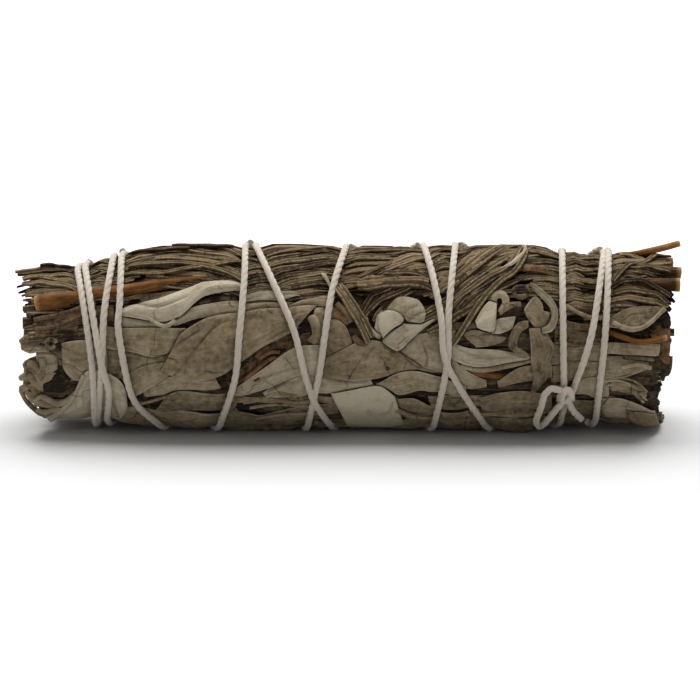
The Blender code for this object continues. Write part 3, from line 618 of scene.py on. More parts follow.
# %% Rolled leaves and rings
def leaf_roll(pile, path, radius, tone, brown=0.0, sweep=240, seed=0):
    """A leaf rolled round a drawn path of x, h and depth, with its slit towards the inside."""
    spots = smooth_line(path, 6 * len(path))
    x, angle = in_front(*spots.T)
    centre = place(x, angle, spots[:, 2])
    ahead = np.gradient(centre, axis=0)
    ahead /= np.linalg.norm(ahead, axis=1, keepdims=True)
    out = np.stack([0 * x, -np.cos(angle), np.sin(angle)], -1)
    side = np.cross(ahead, out)
    side /= np.linalg.norm(side, axis=1, keepdims=True)
    out = np.cross(side, ahead)
    run, around = grid(len(x) - 1, 12, (-1, 1))
    run = run * len(path)
    turn = np.radians(around * sweep / 2)
    swell = radius * (1 + 0.16 * ripple(run * 1.4, turn * 0.8, seed)) * MM
    turn, swell = turn[..., None], swell[..., None]
    shell = centre[:, None] + (side[:, None] * np.sin(turn) + out[:, None] * np.cos(turn)) * swell
    pile.add_sheet(shell, 0.18, (tone, np.abs(around) ** 10, brown), (run, 0.4, 0))


def ring(x, h, wide, tall, depth, gap=30):
    """A drawn path round an ellipse, open by a gap in degrees."""
    turn = np.radians(np.linspace(0, 360 - gap, 9))
    return [(x + wide * math.cos(t), h + tall * math.sin(t), depth) for t in turn]


# %% The leaves that show on the front
# Folds as lines of x and h, and leaves by their upper and lower edges
FOLDS = [
    [(-45.2, -1.7), (-43.3, -2.4), (-41.5, -3.6)], [(-35.4, -2.4), (-31.6, -3.0), (-29.2, -3.15)],
    [(-30.4, -4.85), (-26.8, -1.2), (-23.6, 0.9)],
    [(-27.5, -6.3), (-24.3, -2.2), (-21.2, 1.4), (-19.0, 2.6)],
    [(-20.7, -6.8), (-18.3, -5.8), (-15.5, -3.6)], [(2.56, -5.6), (3.0, -2.9), (4.0, -1.7)],
    [(3.0, -11.8), (4.8, -13.5)], [(4.7, -12.7), (6.4, -11.8), (7.0, -10.6)],
    [(4.7, 3.1), (4.6, 1.7), (5.0, 0.3)], [(8.1, -2.2), (10.3, -4.6), (14.8, -6.3)],
    [(7.4, -11.8), (10.3, -12.8), (13.9, -13.3)], [(8.0, -10.9), (11.0, -11.6), (14.0, -12.6)],
    [(-12.6, -8.95), (-10.2, -7.6), (-7.3, -7.2)], [(23.6, 4.8), (23.6, 2.4), (24.3, 1.2)],
    [(30.8, -2.2), (31.1, -4.85), (30.3, -7.5)], [(17.6, -2.2), (21.2, -3.4), (26.0, -3.2)],
    [(-38.2, -9.5), (-37.0, -11.0), (-36.2, -12.8)], [(-34, 5.6), (-30, 4.6), (-25.5, 6.2)],
    [(8.6, 3.3), (9.4, 4.3), (10.9, 4.9)], [(9.4, 2.6), (10.6, 3.4), (12.0, 3.9)],
    [(28.8, -5.0), (30.2, -5.3), (31.6, -5.0)], [(-16, 6.2), (-11, 6.8), (-7, 6.9)],
    [(-14.5, -7.0), (-11, -5.6), (-7, -4.6)], [(11.6, -1.0), (12.4, -3.4), (12.2, -5.0)],
]
# Deep rows with a tone near 0, at depth 1.1 and deeper, are dark sheets: painted shade in the holes between
# leaves
FRONT_LEAVES = [
    leaf([(-51.3, -8.3), (-49, -9.6), (-46, -10.6), (-42, -10)],
         [(-50.6, -10.2), (-48.5, -11.6), (-45, -12), (-42, -12)], 0.6, 0.42, wrinkle=0.2),
    leaf([(-45.2, -1.1), (-43, -0.7), (-38, -0.8)],
         [(-45.0, -5.2), (-42.8, -7.2), (-38, -6)], 0.35, 0.49, crown=0.3, wrinkle=0.1),
    leaf([(-47.3, -12.8), (-44.4, -10.4), (-42.2, -8), (-41, -5.4), (-36.5, -6.5), (-35, -9)],
         [(-47.5, -13.5), (-44, -13.1), (-41, -13.2), (-38, -13.6), (-36, -13.2), (-34.7, -11.5)], 0.1,
         0.82, high=0.3, wrinkle=0.08),
    leaf([(-49.6, 2.7), (-46, 3.4), (-42, 4.6), (-37, 5.2)],
         [(-49.2, -0.2), (-46, 0.2), (-42, 2), (-37, 2.6)], 0.5, 0.20, brown=0.8, high=0.1, wrinkle=0.34),
    leaf([(-46, 1), (-42, 2.4), (-37, 3)],
         [(-46, -0.9), (-42, -1), (-37, -0.5)], 0.9, 0.14, brown=0.4, wrinkle=0.3),
    leaf([(-38.5, 1.6), (-34, 1.4), (-28.5, 1.3), (-24.5, 1.2)],
         [(-38.5, -2), (-35, -2.5), (-31, -3.3), (-27.5, -2.5)], 0.25, 0.47, high=0.1, crown=0.1,
         wrinkle=0.05),
    leaf([(-39.1, -1.5), (-33, -2), (-26.5, -2.5)],
         [(-39.3, -7.6), (-33.5, -6.4), (-26.5, -4.2)], 0.6, 0.42),
    leaf([(-35.8, -7), (-32, -4.8), (-26.8, -4)],
         [(-34, -10.3), (-30, -7.6), (-26.6, -5)], 0.45, 0.50, wrinkle=0.06),
    leaf([(-32.5, -9), (-29, -6.8), (-21, -6.8)],
         [(-32, -10), (-27, -9.3), (-20, -8.8)], 0.75, 0.52, wrinkle=0.15),
    leaf([(-28.7, -9.7), (-26, -9), (-17, -9.8)], [(-30.6, -12.6), (-25, -12.2), (-18, -12.3)], 0.5, 0.33),
    leaf([(-34.2, -9.0), (-31, -9.2), (-28.6, -9.8)],
         [(-33.2, -12.6), (-31, -12.7), (-28.8, -12.4)], 1.2, 0.02),
    leaf([(-26.5, 0.5), (-22, 3.1), (-16, 4.2), (-9, 4.9), (-5, 5.1)],
         [(-29.5, -5.4), (-25, -7.2), (-19.5, -6), (-14, -2), (-8.8, 0.7)], 0.1, 0.44, brown=0.12,
         crown=0.22, wrinkle=0.1),
    leaf([(-36, 4.6), (-30, 6.1), (-25, 7.9), (-21, 9), (-16.2, 9)],
         [(-36, 3.4), (-30, 2.4), (-26.5, 3.2), (-22.5, 6.6), (-16.2, 7.8)], 0.05, 0.79, crown=0.3,
         wrinkle=0.1),
    leaf([(-36, 3.2), (-32, 2.7), (-28, 2.4)],
         [(-36, 1.7), (-32, 1.5), (-28, 1.4)], 0.45, 0.62, high=0.2, wrinkle=0.1),
    leaf([(-28, 3), (-24, 5), (-16, 6), (-8, 5.7)],
         [(-27.5, 1.7), (-23, 3.1), (-14, 4.4), (-8, 5)], 0.4, 0.60, wrinkle=0.08),
    leaf([(-17, 6.7), (-12, 7.5), (-9.4, 7.4), (-7.6, 6.9)],
         [(-17, 5.7), (-12, 5.9), (-9.4, 6.2), (-7.6, 6.6)], 0.25, 0.68, high=0.15),
    leaf([(-24, 6), (-20, 7.2), (-16, 7.4)], [(-23, 5), (-19, 5.4), (-16, 5.6)], 0.9, 0.16, brown=0.3),
    leaf([(-9.5, 5.2), (-7, 6.2), (-3, 7)], [(-9, 4.6), (-6, 5), (-3, 5.1)], 0.35, 0.50),
    leaf([(-8.4, 3.7), (-6.8, 3.3), (-5.0, 3.0)], [(-8.0, -0.6), (-6.5, -1.2), (-5.0, -1.0)], 1.25, 0.04),
    leaf([(-5.4, 4.8), (-4.2, 5.1), (-3.0, 4.7)],
         [(-5.6, -0.6), (-4.4, -1.4), (-3.2, -1.4)], 0.55, 0.40, wrinkle=0.28),
    leaf([(-3.6, 4.9), (-1.9, 5.0), (-0.4, 4.2), (0.3, 2.6)],
         [(-3.5, 1.4), (-1.6, 0.6), (-1.0, 0.9), (-0.2, 1.9)], 0.45, 0.50, brown=0.9, wrinkle=0.15),
    leaf([(-3.9, 2.9), (-2.2, 3.0), (-0.7, 2.0), (0.1, 0.4), (0.7, -1.4)],
         [(-3.7, -3.6), (-2.6, -5.1), (-1.4, -4.9), (-0.2, -4.0), (1.0, -2.4)], 0.25, 0.42, brown=0.2,
         wrinkle=0.14),
    leaf([(-1.3, 2.5), (1.0, 2.4)], [(-1.2, -0.5), (1.0, -0.6)], 1.3, 0.0),
    leaf([(-17.5, -4.5), (-13, -1.5), (-6, 1)],
         [(-17.5, -8.5), (-12, -4.4), (-6, -1)], 0.9, 0.20, brown=0.95, wrinkle=0.5),
    leaf([(-18, -8.7), (-13, -4.8), (-8, -1.7), (-4.5, -1.3)],
         [(-18, -10), (-13, -8.6), (-8, -6.5), (-2, -6.8)], 0.2, 0.66, crown=0.35, wrinkle=0.07),
    leaf([(-13.5, -9.2), (-9, -6.6), (-4, -6.3), (3.5, -7.2)],
         [(-13, -9.9), (-8, -9.7), (-2, -9.2), (4, -8)], 0.35, 0.72, wrinkle=0.08),
    leaf([(-19, -9.5), (-13, -9.9), (-8, -10.0), (-2, -9.9)],
         [(-19.2, -11.0), (-15.6, -10.4), (-11.5, -10.9), (-7, -11.1), (-2, -10.9)], 0.5, 0.46, brown=0.2,
         wrinkle=0.35),
    leaf([(-19, -11.6), (-16, -12.4), (-13, -12.8), (-9.5, -11.9), (-5.5, -11.4), (-2, -11.2)],
         [(-19.5, -13.1), (-14, -13.9), (-8, -13.4), (-1.5, -12.8)], 0.6, 0.46, high=0.15, wrinkle=0.3),
    leaf([(-17.2, -11.0), (-15.6, -10.1), (-13, -10.0), (-8.4, -10.6)],
         [(-17.0, -11.5), (-15.6, -12.2), (-13, -13.2), (-8.4, -12.0)], 1.2, 0.10, brown=0.5),
    leaf([(-3.5, -3.5), (1, -1.1), (4.5, -0.6), (8, -2.6), (11.2, -4.8)],
         [(-4, -6.6), (0, -7.2), (4, -7), (7, -6), (11.4, -5.2)], 0.2, 0.47, brown=0.1, crown=0.12),
    leaf([(5.4, -0.3), (7.0, 0.9), (8.6, 1.9), (8.75, 1.95), (11.5, 2.0), (13.7, 3.0)],
         [(5.4, -0.9), (6.5, -1.7), (7.9, -2.3), (9.2, -1.2), (9.4, -1.0), (11.6, 1.0), (13.5, 2.5)], 0.1,
         0.74, crown=0.05, wrinkle=0.1),
    leaf([(4.1, 1.5), (4.5, 3.2), (4.6, 3.35), (6.2, 4.1), (7.9, 3.7), (8.7, 3.0)],
         [(4.2, 1.0), (5.35, -0.1), (5.5, -0.15), (6.9, 1.2), (8.3, 2.1), (8.7, 2.7)], -0.06, 0.88,
         crown=0.05, wrinkle=0.08),
    leaf([(5.9, 4.1), (6.5, 4.9), (8.1, 6.2), (10.7, 5.8), (11.6, 5.0), (12.2, 3.9)],
         [(8.3, 3.5), (8.6, 3.2), (9.2, 2.5), (9.9, 2.35), (11.6, 2.3), (12.1, 3.1)], 0.0, 0.56, crown=0.0,
         wrinkle=0.34),
    leaf([(7.4, -1.4), (11, 0.4), (17, 1)], [(7.8, -4.5), (13, -6), (17, -6)], 0.55, 0.54, wrinkle=0.06),
    leaf([(4.3, -7.7), (8, -5.9), (12, -5.8), (18.5, -8.2)],
         [(4.8, -8), (8, -9.3), (11.4, -8.6), (13.4, -9.0), (18.5, -10.2)], 0.15, 0.58, crown=0.2,
         wrinkle=0.1),
    leaf([(9.4, -8.7), (12, -8.4), (15.2, -9.0)], [(9.8, -9.9), (12, -10.6), (15.0, -11.2)], 1.2, 0.0),
    leaf([(18.4, -7.6), (22, -7.9), (25.6, -7.6)], [(18.5, -9.9), (22, -9.9), (25.0, -9.4)], 1.2, 0.0),
    leaf([(41.0, -2.9), (45, -3.0), (49.4, -2.9)], [(41.0, -3.9), (45, -3.8), (49.2, -4.0)], 1.1, 0.0),
    leaf([(33.6, -10.2), (35.6, -9.4), (38.2, -11.4)],
         [(33.6, -11.6), (35.6, -11.9), (38.2, -12.0)], 1.2, 0.02),
    leaf([(-2.8, -9.3), (0.5, -8.6), (4.4, -7.9), (6.1, -8.5), (7.3, -9.5)],
         [(0.0, -14.6), (2.5, -14.5), (5.5, -14.4), (7.2, -14.3), (8.7, -14.2)], 0.1, 1.0, crown=0.08,
         wrinkle=0.11),
    leaf([(7, -10), (10.5, -9.9), (14.1, -12)],
         [(7.4, -11.2), (10, -12.3), (14.1, -12.7)], 0.3, 0.48, wrinkle=0.2),
    leaf([(8, -12), (15, -12.5), (22, -12)],
         [(9, -13.8), (15, -13.8), (22, -13.2)], 0.5, 0.42, wrinkle=0.25),
    leaf([(12.5, -10), (18, -9.9), (24, -9.7)],
         [(13, -12), (18, -12.3), (24, -11.8)], 0.7, 0.44, wrinkle=0.2),
    leaf([(16.2, -3.5), (19, -5.8), (21.7, -7.1)], [(16.5, -8.3), (19, -8.7), (21.8, -8.1)], 0.35, 0.56),
    leaf([(15.8, -0.7), (19, -1.9), (24, -2.2), (28.5, -3.1)],
         [(16.3, -3.8), (20, -4.8), (25, -4.2), (28.5, -3.6)], 0.1, 0.67, low=0.1, crown=0.3),
    leaf([(18.0, 0.5), (19.8, 1.1), (22.9, 0.3), (25.0, -0.1)],
         [(18.4, -0.2), (20.1, -1.75), (20.3, -1.8), (22.6, -1.5), (24.4, -0.9)], 0.4, 0.50),
    leaf([(28.3, 2.6), (26.6, 2.1), (25.5, 0.5), (25.2, -1.4), (26.1, -2.5), (28.3, -3.3)],
         [(28.3, 1.4), (27.2, 0.7), (26.6, -0.5), (26.6, -1.6), (27.2, -2.0), (28.3, -2.7)], -0.05, 0.30,
         brown=0.15, crown=0.3, wrinkle=0.14),
    leaf([(28.6, 8.2), (30.6, 6.9), (32.5, 5.0), (32.9, 2.9), (32.0, 0.9), (30.4, 0.5)],
         [(28.9, 7.3), (30.2, 6.1), (31.7, 4.5), (31.9, 3.0), (31.3, 1.8), (30.5, 1.5)], -0.1, 0.50,
         high=0.3, crown=0.15, wrinkle=0.16),
    leaf([(22.0, 5.9), (22.9, 7.1), (24.4, 7.2), (25.3, 5.8), (25.0, 4.4), (23.9, 3.5)],
         [(23.3, 5.5), (23.5, 6.0), (24.0, 6.0), (24.2, 5.4), (24.0, 4.9), (23.5, 4.3)], -0.2, 0.60,
         crown=0.2, wrinkle=0.12),
    leaf([(23.6, 10.5), (25.2, 11.3), (26.4, 12.4), (27.3, 13.2), (27.5, 13.9), (27.2, 14.3)],
         [(23.6, 10.3), (25.5, 10.9), (26.9, 11.9), (27.8, 13.1), (28.0, 13.9), (27.5, 14.4)], -0.3, 0.74,
         crown=0.2, wrinkle=0.14),
    leaf([(-4.4, 10.3), (-3.5, 10.0), (-2.7, 8.4)],
         [(-4.1, 9.5), (-3.6, 8.9), (-3.1, 8.0)], -0.15, 0.66, wrinkle=0.36),
    leaf([(27.4, 11.5), (29.5, 11.3), (31.4, 10.9)],
         [(27.6, 10.4), (29.5, 10.2), (31.3, 10.1)], -0.1, 0.36, brown=1.7, wrinkle=0.25, crown=0.05),
    leaf([(-35.5, 6.5), (-31.5, 7.3), (-27, 7.9)],
         [(-35.5, 4.4), (-31, 5.3), (-26.5, 7.3)], 0.75, 0.22, brown=0.5, wrinkle=0.4),
    leaf([(15.5, 2.4), (21.4, 2.5)], [(15.5, 0.3), (21.4, 1.1)], 0.75, 0.46, brown=0.2),
    leaf([(20.0, 2.3), (20.1, 2.6), (21.2, 4.5), (22.7, 5.9), (23.4, 6.0)],
         [(20.2, 1.5), (20.4, 1.35), (21.5, 0.9), (22.9, 0.9), (23.3, 3.2)], -0.1, 0.94, high=0.15),
    leaf([(22.0, 2.2), (23.6, 2.7), (26.3, 3.2)],
         [(21.9, 0.7), (23.8, 0.4), (25.9, 1.3)], 0.05, 0.76, high=0.2),
    leaf([(23.4, -7.2), (27, -4.9), (32, -4.5)], [(23.6, -8.3), (27, -7.5), (32, -6.5)], 0.3, 0.42),
    leaf([(20.5, -9.9), (26, -8.9), (32, -9.5)], [(21, -12.4), (26, -11.5), (32, -12)], 0.4, 0.42),
    leaf([(21, -12.3), (25, -11.6), (30, -11.8)], [(20, -13.6), (25, -13.4), (30, -13.2)], 0.8, 0.30),
    leaf([(27.7, 4.2), (29.3, 6.1), (30.3, 5.2), (30.7, 4.0), (31.8, 3.9)],
         [(28.0, 3.3), (28.9, 1.9), (30.2, 0.9), (31.1, 1.3), (31.7, 2.4)], 0.2, 0.45, high=0.25,
         wrinkle=0.32),
    leaf([(28.4, 1.4), (28.7, -2), (28.7, -4.1), (29.1, -6.4), (28.6, -8.9)],
         [(30.9, 1.3), (32.4, -1.7), (31.8, -3.8), (31.4, -6.4), (29.0, -9.0)], 0.0, 0.37, wrinkle=0.24),
    leaf([(25.6, 1.4), (27.2, 2.2), (29, 1.7)], [(25.7, -1.2), (27, -2.3), (29, -2.0)], 1.3, 0.12),
    leaf([(32.5, 3.2), (36, 2.2), (41, 1.5)],
         [(32.5, -1), (36, -1.5), (41, -0.8)], 0.6, 0.22, brown=0.45, wrinkle=0.45),
    leaf([(31.5, -1), (36, -1.1), (41, -0.9)],
         [(31.5, -4.8), (36, -4.5), (41, -4.5)], 0.7, 0.42, wrinkle=0.2),
    leaf([(31.7, -4.9), (36, -4.3), (41, -4.3)],
         [(32, -7.6), (36, -7.2), (41, -6.8)], 0.4, 0.42, wrinkle=0.2),
    leaf([(35, -8), (37.5, -7), (41, -6.4)], [(35, -9.7), (37, -9.5), (41, -11.3)], 0.3, 0.56),
    leaf([(34.5, -10.3), (38, -10.8), (41, -10)], [(35, -13), (38, -13.1), (41, -12.9)], 0.6, 0.42),
    leaf([(40, 2.4), (43, 4.1), (46, 4.9), (49.8, 4.7)],
         [(40, 1.8), (43.5, 1.3), (46.4, 1.7), (49.9, 4.2)], 0.0, 0.38, low=0.35, crown=-0.3, wrinkle=0.12),
    leaf([(42, 1.6), (46.3, 2.2), (48.6, 2.4)],
         [(42, -3), (46, -3.2), (48.6, -3.4)], 1.3, 0.06, brown=1.0, wrinkle=0.4, crown=0.0),
    leaf([(46.8, 1.2), (48.4, 2.3), (50.8, 2.6)],
         [(48.3, -0.9), (49.3, -3.9), (50.5, -4.4)], 0.55, 0.34, brown=1.5, wrinkle=0.45, crown=0.0),
    leaf([(40, -0.9), (44, -1.1), (49.2, -1.3)],
         [(40, -2.9), (44, -3), (48.9, -3.1)], 0.3, 0.58, crown=0.1, wrinkle=0.2),
    leaf([(39.8, -3.9), (43.5, -3.7), (47.3, -4.2)],
         [(39.8, -7), (43.5, -6.5), (47.2, -5.4)], 0.2, 0.48, wrinkle=0.26),
    leaf([(40, -7), (43, -7), (46.8, -8.8)], [(40, -8.6), (43, -9.2), (47, -9.6)], 0.4, 0.48, wrinkle=0.3),
    leaf([(39.8, -10.2), (43, -9.9), (48.2, -11.8)], [(39.8, -12.9), (43, -13), (48.4, -12.6)], 0.1, 0.64),
    leaf([(44, -11.5), (48.4, -11.9)], [(44, -12.4), (46.9, -13.8), (49, -13.4)], -0.6, 0.36, wrinkle=0.2),
    leaf([(42, -5.5), (47.5, -5), (49, -6)],
         [(42, -10), (46, -10.4), (48.2, -11.6)], 1.5, 0.10, brown=0.6, wrinkle=0.3),
    leaf([(-51.2, 1.6), (-49.5, 2.0), (-48.0, 1.1)],
         [(-51.3, 0.3), (-49.6, -0.2), (-48.0, 0.0)], 0.95, 0.30, wrinkle=0.3),
    leaf([(-52.0, -0.5), (-50.5, 0.6), (-48.4, 0.3), (-47.2, -0.6)],
         [(-51.5, -2.2), (-50.1, -2.8), (-48.6, -2.5), (-47.2, -2.6)], 0.8, 0.40, wrinkle=0.3),
    leaf([(-51.2, -4.2), (-50.0, -3.5), (-47.5, -3.0), (-45.0, -4.4)],
         [(-51.4, -9.4), (-49.6, -11.3), (-47.0, -12.0), (-44.6, -11.2)], 1.35, 0.36, wrinkle=0.45),
    leaf([(-49.3, -2.9), (-47.7, -2.7), (-46.0, -3.3)],
         [(-49.1, -6.9), (-47.4, -6.6), (-45.8, -5.6)], 0.95, 0.56, wrinkle=0.34),
    leaf([(-48.6, -6.3), (-46.4, -5.2), (-43.8, -6.6)],
         [(-48.4, -9.2), (-46.0, -10.3), (-43.8, -8.8)], 1.1, 0.0),
]
ON_TOP = 0.4
front_pile, under_pile = Pile(), Pile()
for which, row in enumerate(FRONT_LEAVES):
    drawn_leaf(front_pile if row["depth"] < ON_TOP else under_pile, which, FRONT_LEAVES,
               seed=10 * which + 3, **row)

# %% Rolled edges, curls and rings on the front
# A path of x, h and depth, then radius, tone and how brown
ROLLS = [
    (ring(-46.8, -1.1, 0.75, 0.7, 0.1), 0.30, 0.36, 0.1),
    (ring(27.1, 7.05, 1.15, 0.8, -0.2), 0.36, 0.22, 0.6),
    (ring(41.2, -10.3, 0.9, 0.8, 0.6), 0.3, 0.35, 0.2),
    ([(23.8, 3.7, 0.2), (25.5, 4.9, 0.0), (27.0, 5.2, 0.3)], 0.42, 0.42, 0.2),
    ([(-33.9, 3.4, 0.2), (-31.5, 2.9, 0.0), (-30, 2.0, 0.0), (-28.6, 1.7, 0.1),
      (-27.2, 2.5, 0.3)], 0.33, 0.66, 0.0),
    ([(-26.8, 3.1, 0.5), (-24.3, 5.6, 0.4), (-21.2, 7.2, 0.3), (-17.6, 8.2, 0.4)], 0.26, 0.58, 0.0),
    ([(-47.0, -13.2, 0.1), (-45.0, -11.6, -0.1), (-43.4, -9.8, -0.1), (-42.4, -7.9, 0.0),
      (-41.6, -6.0, 0.2)], 0.34, 0.66, 0.0),
    ([(17.6, -4.6, 0.6), (21, -5.3, 0.5), (25.0, -4.7, 0.5), (28.6, -3.8, 0.6)], 0.36, 0.50, 0.0),
    ([(41.6, 2.2, 0.1), (44.5, 1.1, -0.1), (47.0, 1.9, -0.1), (49.8, 4.4, 0.0)], 0.36, 0.60, 0.0),
    ([(2.7, 3.0, 0.2), (3.1, 1.7, 0.0), (4.1, 0.5, 0.0), (5.0, -0.1, 0.2)], 0.32, 0.62, 0.0),
    ([(-1.8, 5.2, 0.3), (-0.4, 3.8, 0.2), (0.4, 2.2, 0.3)], 0.42, 0.40, 0.7),
    ([(0.9, 0.2, 0.5), (1.6, -0.9, 0.4), (2.9, -1.4, 0.5)], 0.5, 0.32, 0.8),
    ([(-12.9, -9.4, 0.4), (-10.7, -8.8, 0.2), (-8.2, -9.3, 0.3)], 0.34, 0.56, 0.1),
    ([(-16.5, -10.4, 0.5), (-13.0, -9.7, 0.4), (-9.0, -10.3, 0.4), (-5, -10.2, 0.5)], 0.38, 0.46, 0.1),
    ([(-5.6, -13.2, 0.7), (0, -14.2, 0.5), (8, -14.1, 0.5), (14, -13.6, 0.6)], 0.4, 0.42, 0.0),
    ([(7.6, -11.5, 0.3), (10.3, -12.5, 0.2), (14.2, -12.9, 0.4)], 0.36, 0.46, 0.1),
    ([(13, -10.6, 0.8), (18, -10.5, 0.5), (24, -10.3, 0.5), (31, -10.2, 0.8)], 0.36, 0.42, 0.1),
    ([(15, -12.4, 0.7), (21, -12.1, 0.5), (27, -12.3, 0.5), (32, -11.4, 0.7)], 0.34, 0.48, 0.1),
    ([(39.6, -7.0, 0.4), (42.5, -6.9, 0.2), (45.2, -8.0, 0.3), (46.6, -9.4, 0.6)], 0.22, 0.66, 0.0),
    ([(41.5, -8.4, 0.6), (44.0, -8.3, 0.3), (46.4, -10.3, 0.5)], 0.2, 0.56, 0.0),
    ([(40.6, -7.6, 0.4), (43.4, -7.5, 0.2), (45.4, -8.7, 0.3), (46.9, -9.9, 0.6)], 0.18, 0.60, 0.0),
    ([(42.4, -6.4, 0.4), (45.0, -7.0, 0.2), (47.0, -8.6, 0.4)], 0.18, 0.50, 0.1),
    ([(40.2, -3.4, 0.5), (44, -3.3, 0.4), (48.0, -3.6, 0.7)], 0.3, 0.36, 0.2),
    ([(43.0, -4.9, 0.2), (45.6, -4.5, 0.0), (47.6, -4.9, 0.2)], 0.34, 0.66, 0.0),
    ([(-51.4, -8.4, 0.8), (-50.9, -9.8, 0.8), (-49.4, -11.2, 0.8), (-47.8, -12.5, 0.8)], 0.42, 0.34, 0.0),
    ([(-50.9, -4.7, 1.0), (-49.6, -4.3, 0.7), (-48.6, -5.2, 1.0)], 0.6, 0.42, 0.0),
    ([(-51.5, -6.4, 1.0), (-50.2, -6.0, 0.7), (-49.2, -7.0, 1.0)], 0.6, 0.46, 0.0),
    ([(-51.4, -8.1, 1.0), (-50.1, -7.8, 0.7), (-49.0, -8.8, 1.0)], 0.55, 0.42, 0.0),
    ([(-49.2, -9.9, 0.2), (-48.2, -9.3, 0.1), (-47.0, -10.0, 0.0), (-45.8, -10.6, 0.0), (-44.4, -10.1, 0.1),
      (-42.9, -8.8, 0.2)], 0.42, 0.62, 0.0),
    ([(-49.0, -11.4, 0.5), (-47.2, -11.8, 0.2), (-45.2, -11.2, 0.2)], 0.46, 0.50, 0.0),
    ([(-48.2, -3.4, 0.9), (-48.0, -5.0, 0.8), (-48.5, -6.6, 1.1)], 0.5, 0.46, 0.0),
    ([(-49.4, 2.5, 0.5), (-45.5, 3.4, 0.3), (-41.5, 4.5, 0.5)], 0.38, 0.24, 0.8),
    ([(-49.0, 1.0, 0.5), (-46.2, 1.5, 0.4), (-42.0, 2.9, 0.5)], 0.36, 0.26, 0.8),
    ([(-48.2, -0.2, 0.9), (-45.6, 0.6, 0.7), (-42.4, 1.2, 0.8)], 0.42, 0.14, 0.6),
    ([(34.2, 4.9, 0.3), (36.2, 3.7, 0.1), (38.4, 3.0, 0.1), (40.8, 2.9, 0.4)], 0.3, 0.40, 0.1),
    ([(-15.5, -11.2, 0.4), (-11.5, -10.7, 0.3), (-6.2, -10.9, 0.4)], 0.24, 0.50, 0.1),
    ([(-14.6, -12.9, 0.4), (-10, -12.2, 0.3), (-4.9, -12.1, 0.4)], 0.24, 0.56, 0.1),
    ([(-33.2, -10.6, 0.7), (-30.6, -10.0, 0.5), (-28.6, -9.4, 0.5)], 0.26, 0.44, 0.3),
    ([(-5.8, 3.1, 0.7), (-5.2, 1.7, 0.4), (-5.1, 0.3, 0.4), (-5.6, -0.9, 0.7)], 0.7, 0.40, 0.1),
    ([(-16.4, -6.8, 0.6), (-14.0, -4.8, 0.4), (-12.4, -3.6, 0.4), (-11.4, -3.3, 0.6)], 0.3, 0.46, 1.8),
    ([(-13.9, -3.5, 0.7), (-12.4, -2.5, 0.5), (-10.8, -2.4, 0.7)], 0.28, 0.42, 1.6),
    ([(-16.6, -8.2, 0.6), (-14.9, -6.9, 0.4), (-13.0, -5.6, 0.5)], 0.28, 0.30, 1.2),
]
for which, row in enumerate(ROLLS):
    leaf_roll(under_pile, *row, seed=700 + which)
sage_leaves_front = front_pile.as_object("sage_leaves_front", sage_front)
sage_leaves_under = under_pile.as_object("sage_leaves_under", sage_front)

# %% [markdown]
# ## Leaves packed inside and below
# Under the leaves that show there are more, seen as edges in the gaps. They follow a rule: pointed
# leaves at seeded places, in rows round the bunch, each a little deeper or shallower than its
# neighbours, and narrow strips between them. The leaves below reach round the underside the same way.

# %% Leaves by a seeded rule
LEAF_ENDS = (-49.0, 44.0)


def lens_leaf(pile, x, angle, length, width, tilt, depth, tone, brown, seed,
              wrinkle=0.16, crown=0.25, fine=0.62):
    """Lay a leaf with a point at each end, centred at x and an angle in degrees."""
    u, v = grid(max(8, round(length / fine)), max(6, round(width / (fine * 0.8))), (-1, 1))
    half = 0.5 * width * (0.10 + 0.90 * np.sin(math.pi * np.clip(u, 0, 1)) ** 0.7)
    bend = 0.8 * ripple(u * length / 12, 0 * u, seed + 1)
    run = (u - 0.5) * length
    ragged = np.random.RandomState(seed + 11).uniform(0, 3.2, 2)
    spots = np.clip(x + run, -49.7 + ragged[0], 49.0 - ragged[1] + 0.5 * np.sin(5 * v + seed))
    angles = math.radians(angle) + (half * v + run * tilt + bend) / RADIUS
    deep = depth - crown * (1 - v * v) + 0.3 * np.abs(v) ** 6
    deep = deep + wrinkle * ripple(u * length / 3, v * width, seed)
    deep = pressed(spots, angles, deep) + 0.3 * np.abs(2 * u - 1) ** 8
    radius, drop = girth(spots)
    floor = radius - (AXIS_HEIGHT + drop - 0.05) / np.maximum(-np.sin(angles), 0.05)
    deep = np.maximum(deep, np.where(np.sin(angles) < -0.5, floor, -9))
    edge = np.abs(v) ** 10
    pile.add_sheet(place(spots, angles, deep), 0.36 * (1 - 0.6 * edge), (tone, edge, brown), (run, v, 0))


def rows_of_leaves(pile, draw, start, end, layers, tone, tone_range,
                   every=11, length=(22, 40), width=(6, 10)):
    """Rows of pointed leaves round the bunch between two angles, for each layer depth."""
    count = 0
    for depth in layers:
        for angle in np.arange(start, end, math.degrees(every * 0.55 / RADIUS)):
            x = LEAF_ENDS[0]
            while x < LEAF_ENDS[1]:
                long = draw.uniform(*length)
                lens_leaf(pile, x + long / 2, angle + draw.uniform(-9, 9), long, draw.uniform(*width),
                          draw.uniform(-0.10, 0.10), depth + draw.uniform(-0.25, 0.25),
                          tone + draw.uniform(-tone_range, tone_range), draw.uniform(0, 0.35), count * 5 + 2)
                x += long * draw.uniform(0.55, 0.8)
                count += 1
    return count


inner_draw = random.Random(5)
packed_pile, low_pile = Pile(), Pile()
print("leaves packed inside:", rows_of_leaves(packed_pile, inner_draw, -75, 40, (1.8,), 0.16, 0.12))
print("strips in the gaps:", rows_of_leaves(packed_pile, inner_draw, -72, 38, (1.3,), 0.24, 0.24, every=4.6,
                                            length=(9, 22), width=(1.4, 3.4)))
print("leaves below:", rows_of_leaves(low_pile, inner_draw, 196, 296, (0.75, 0.35), 0.44, 0.14))
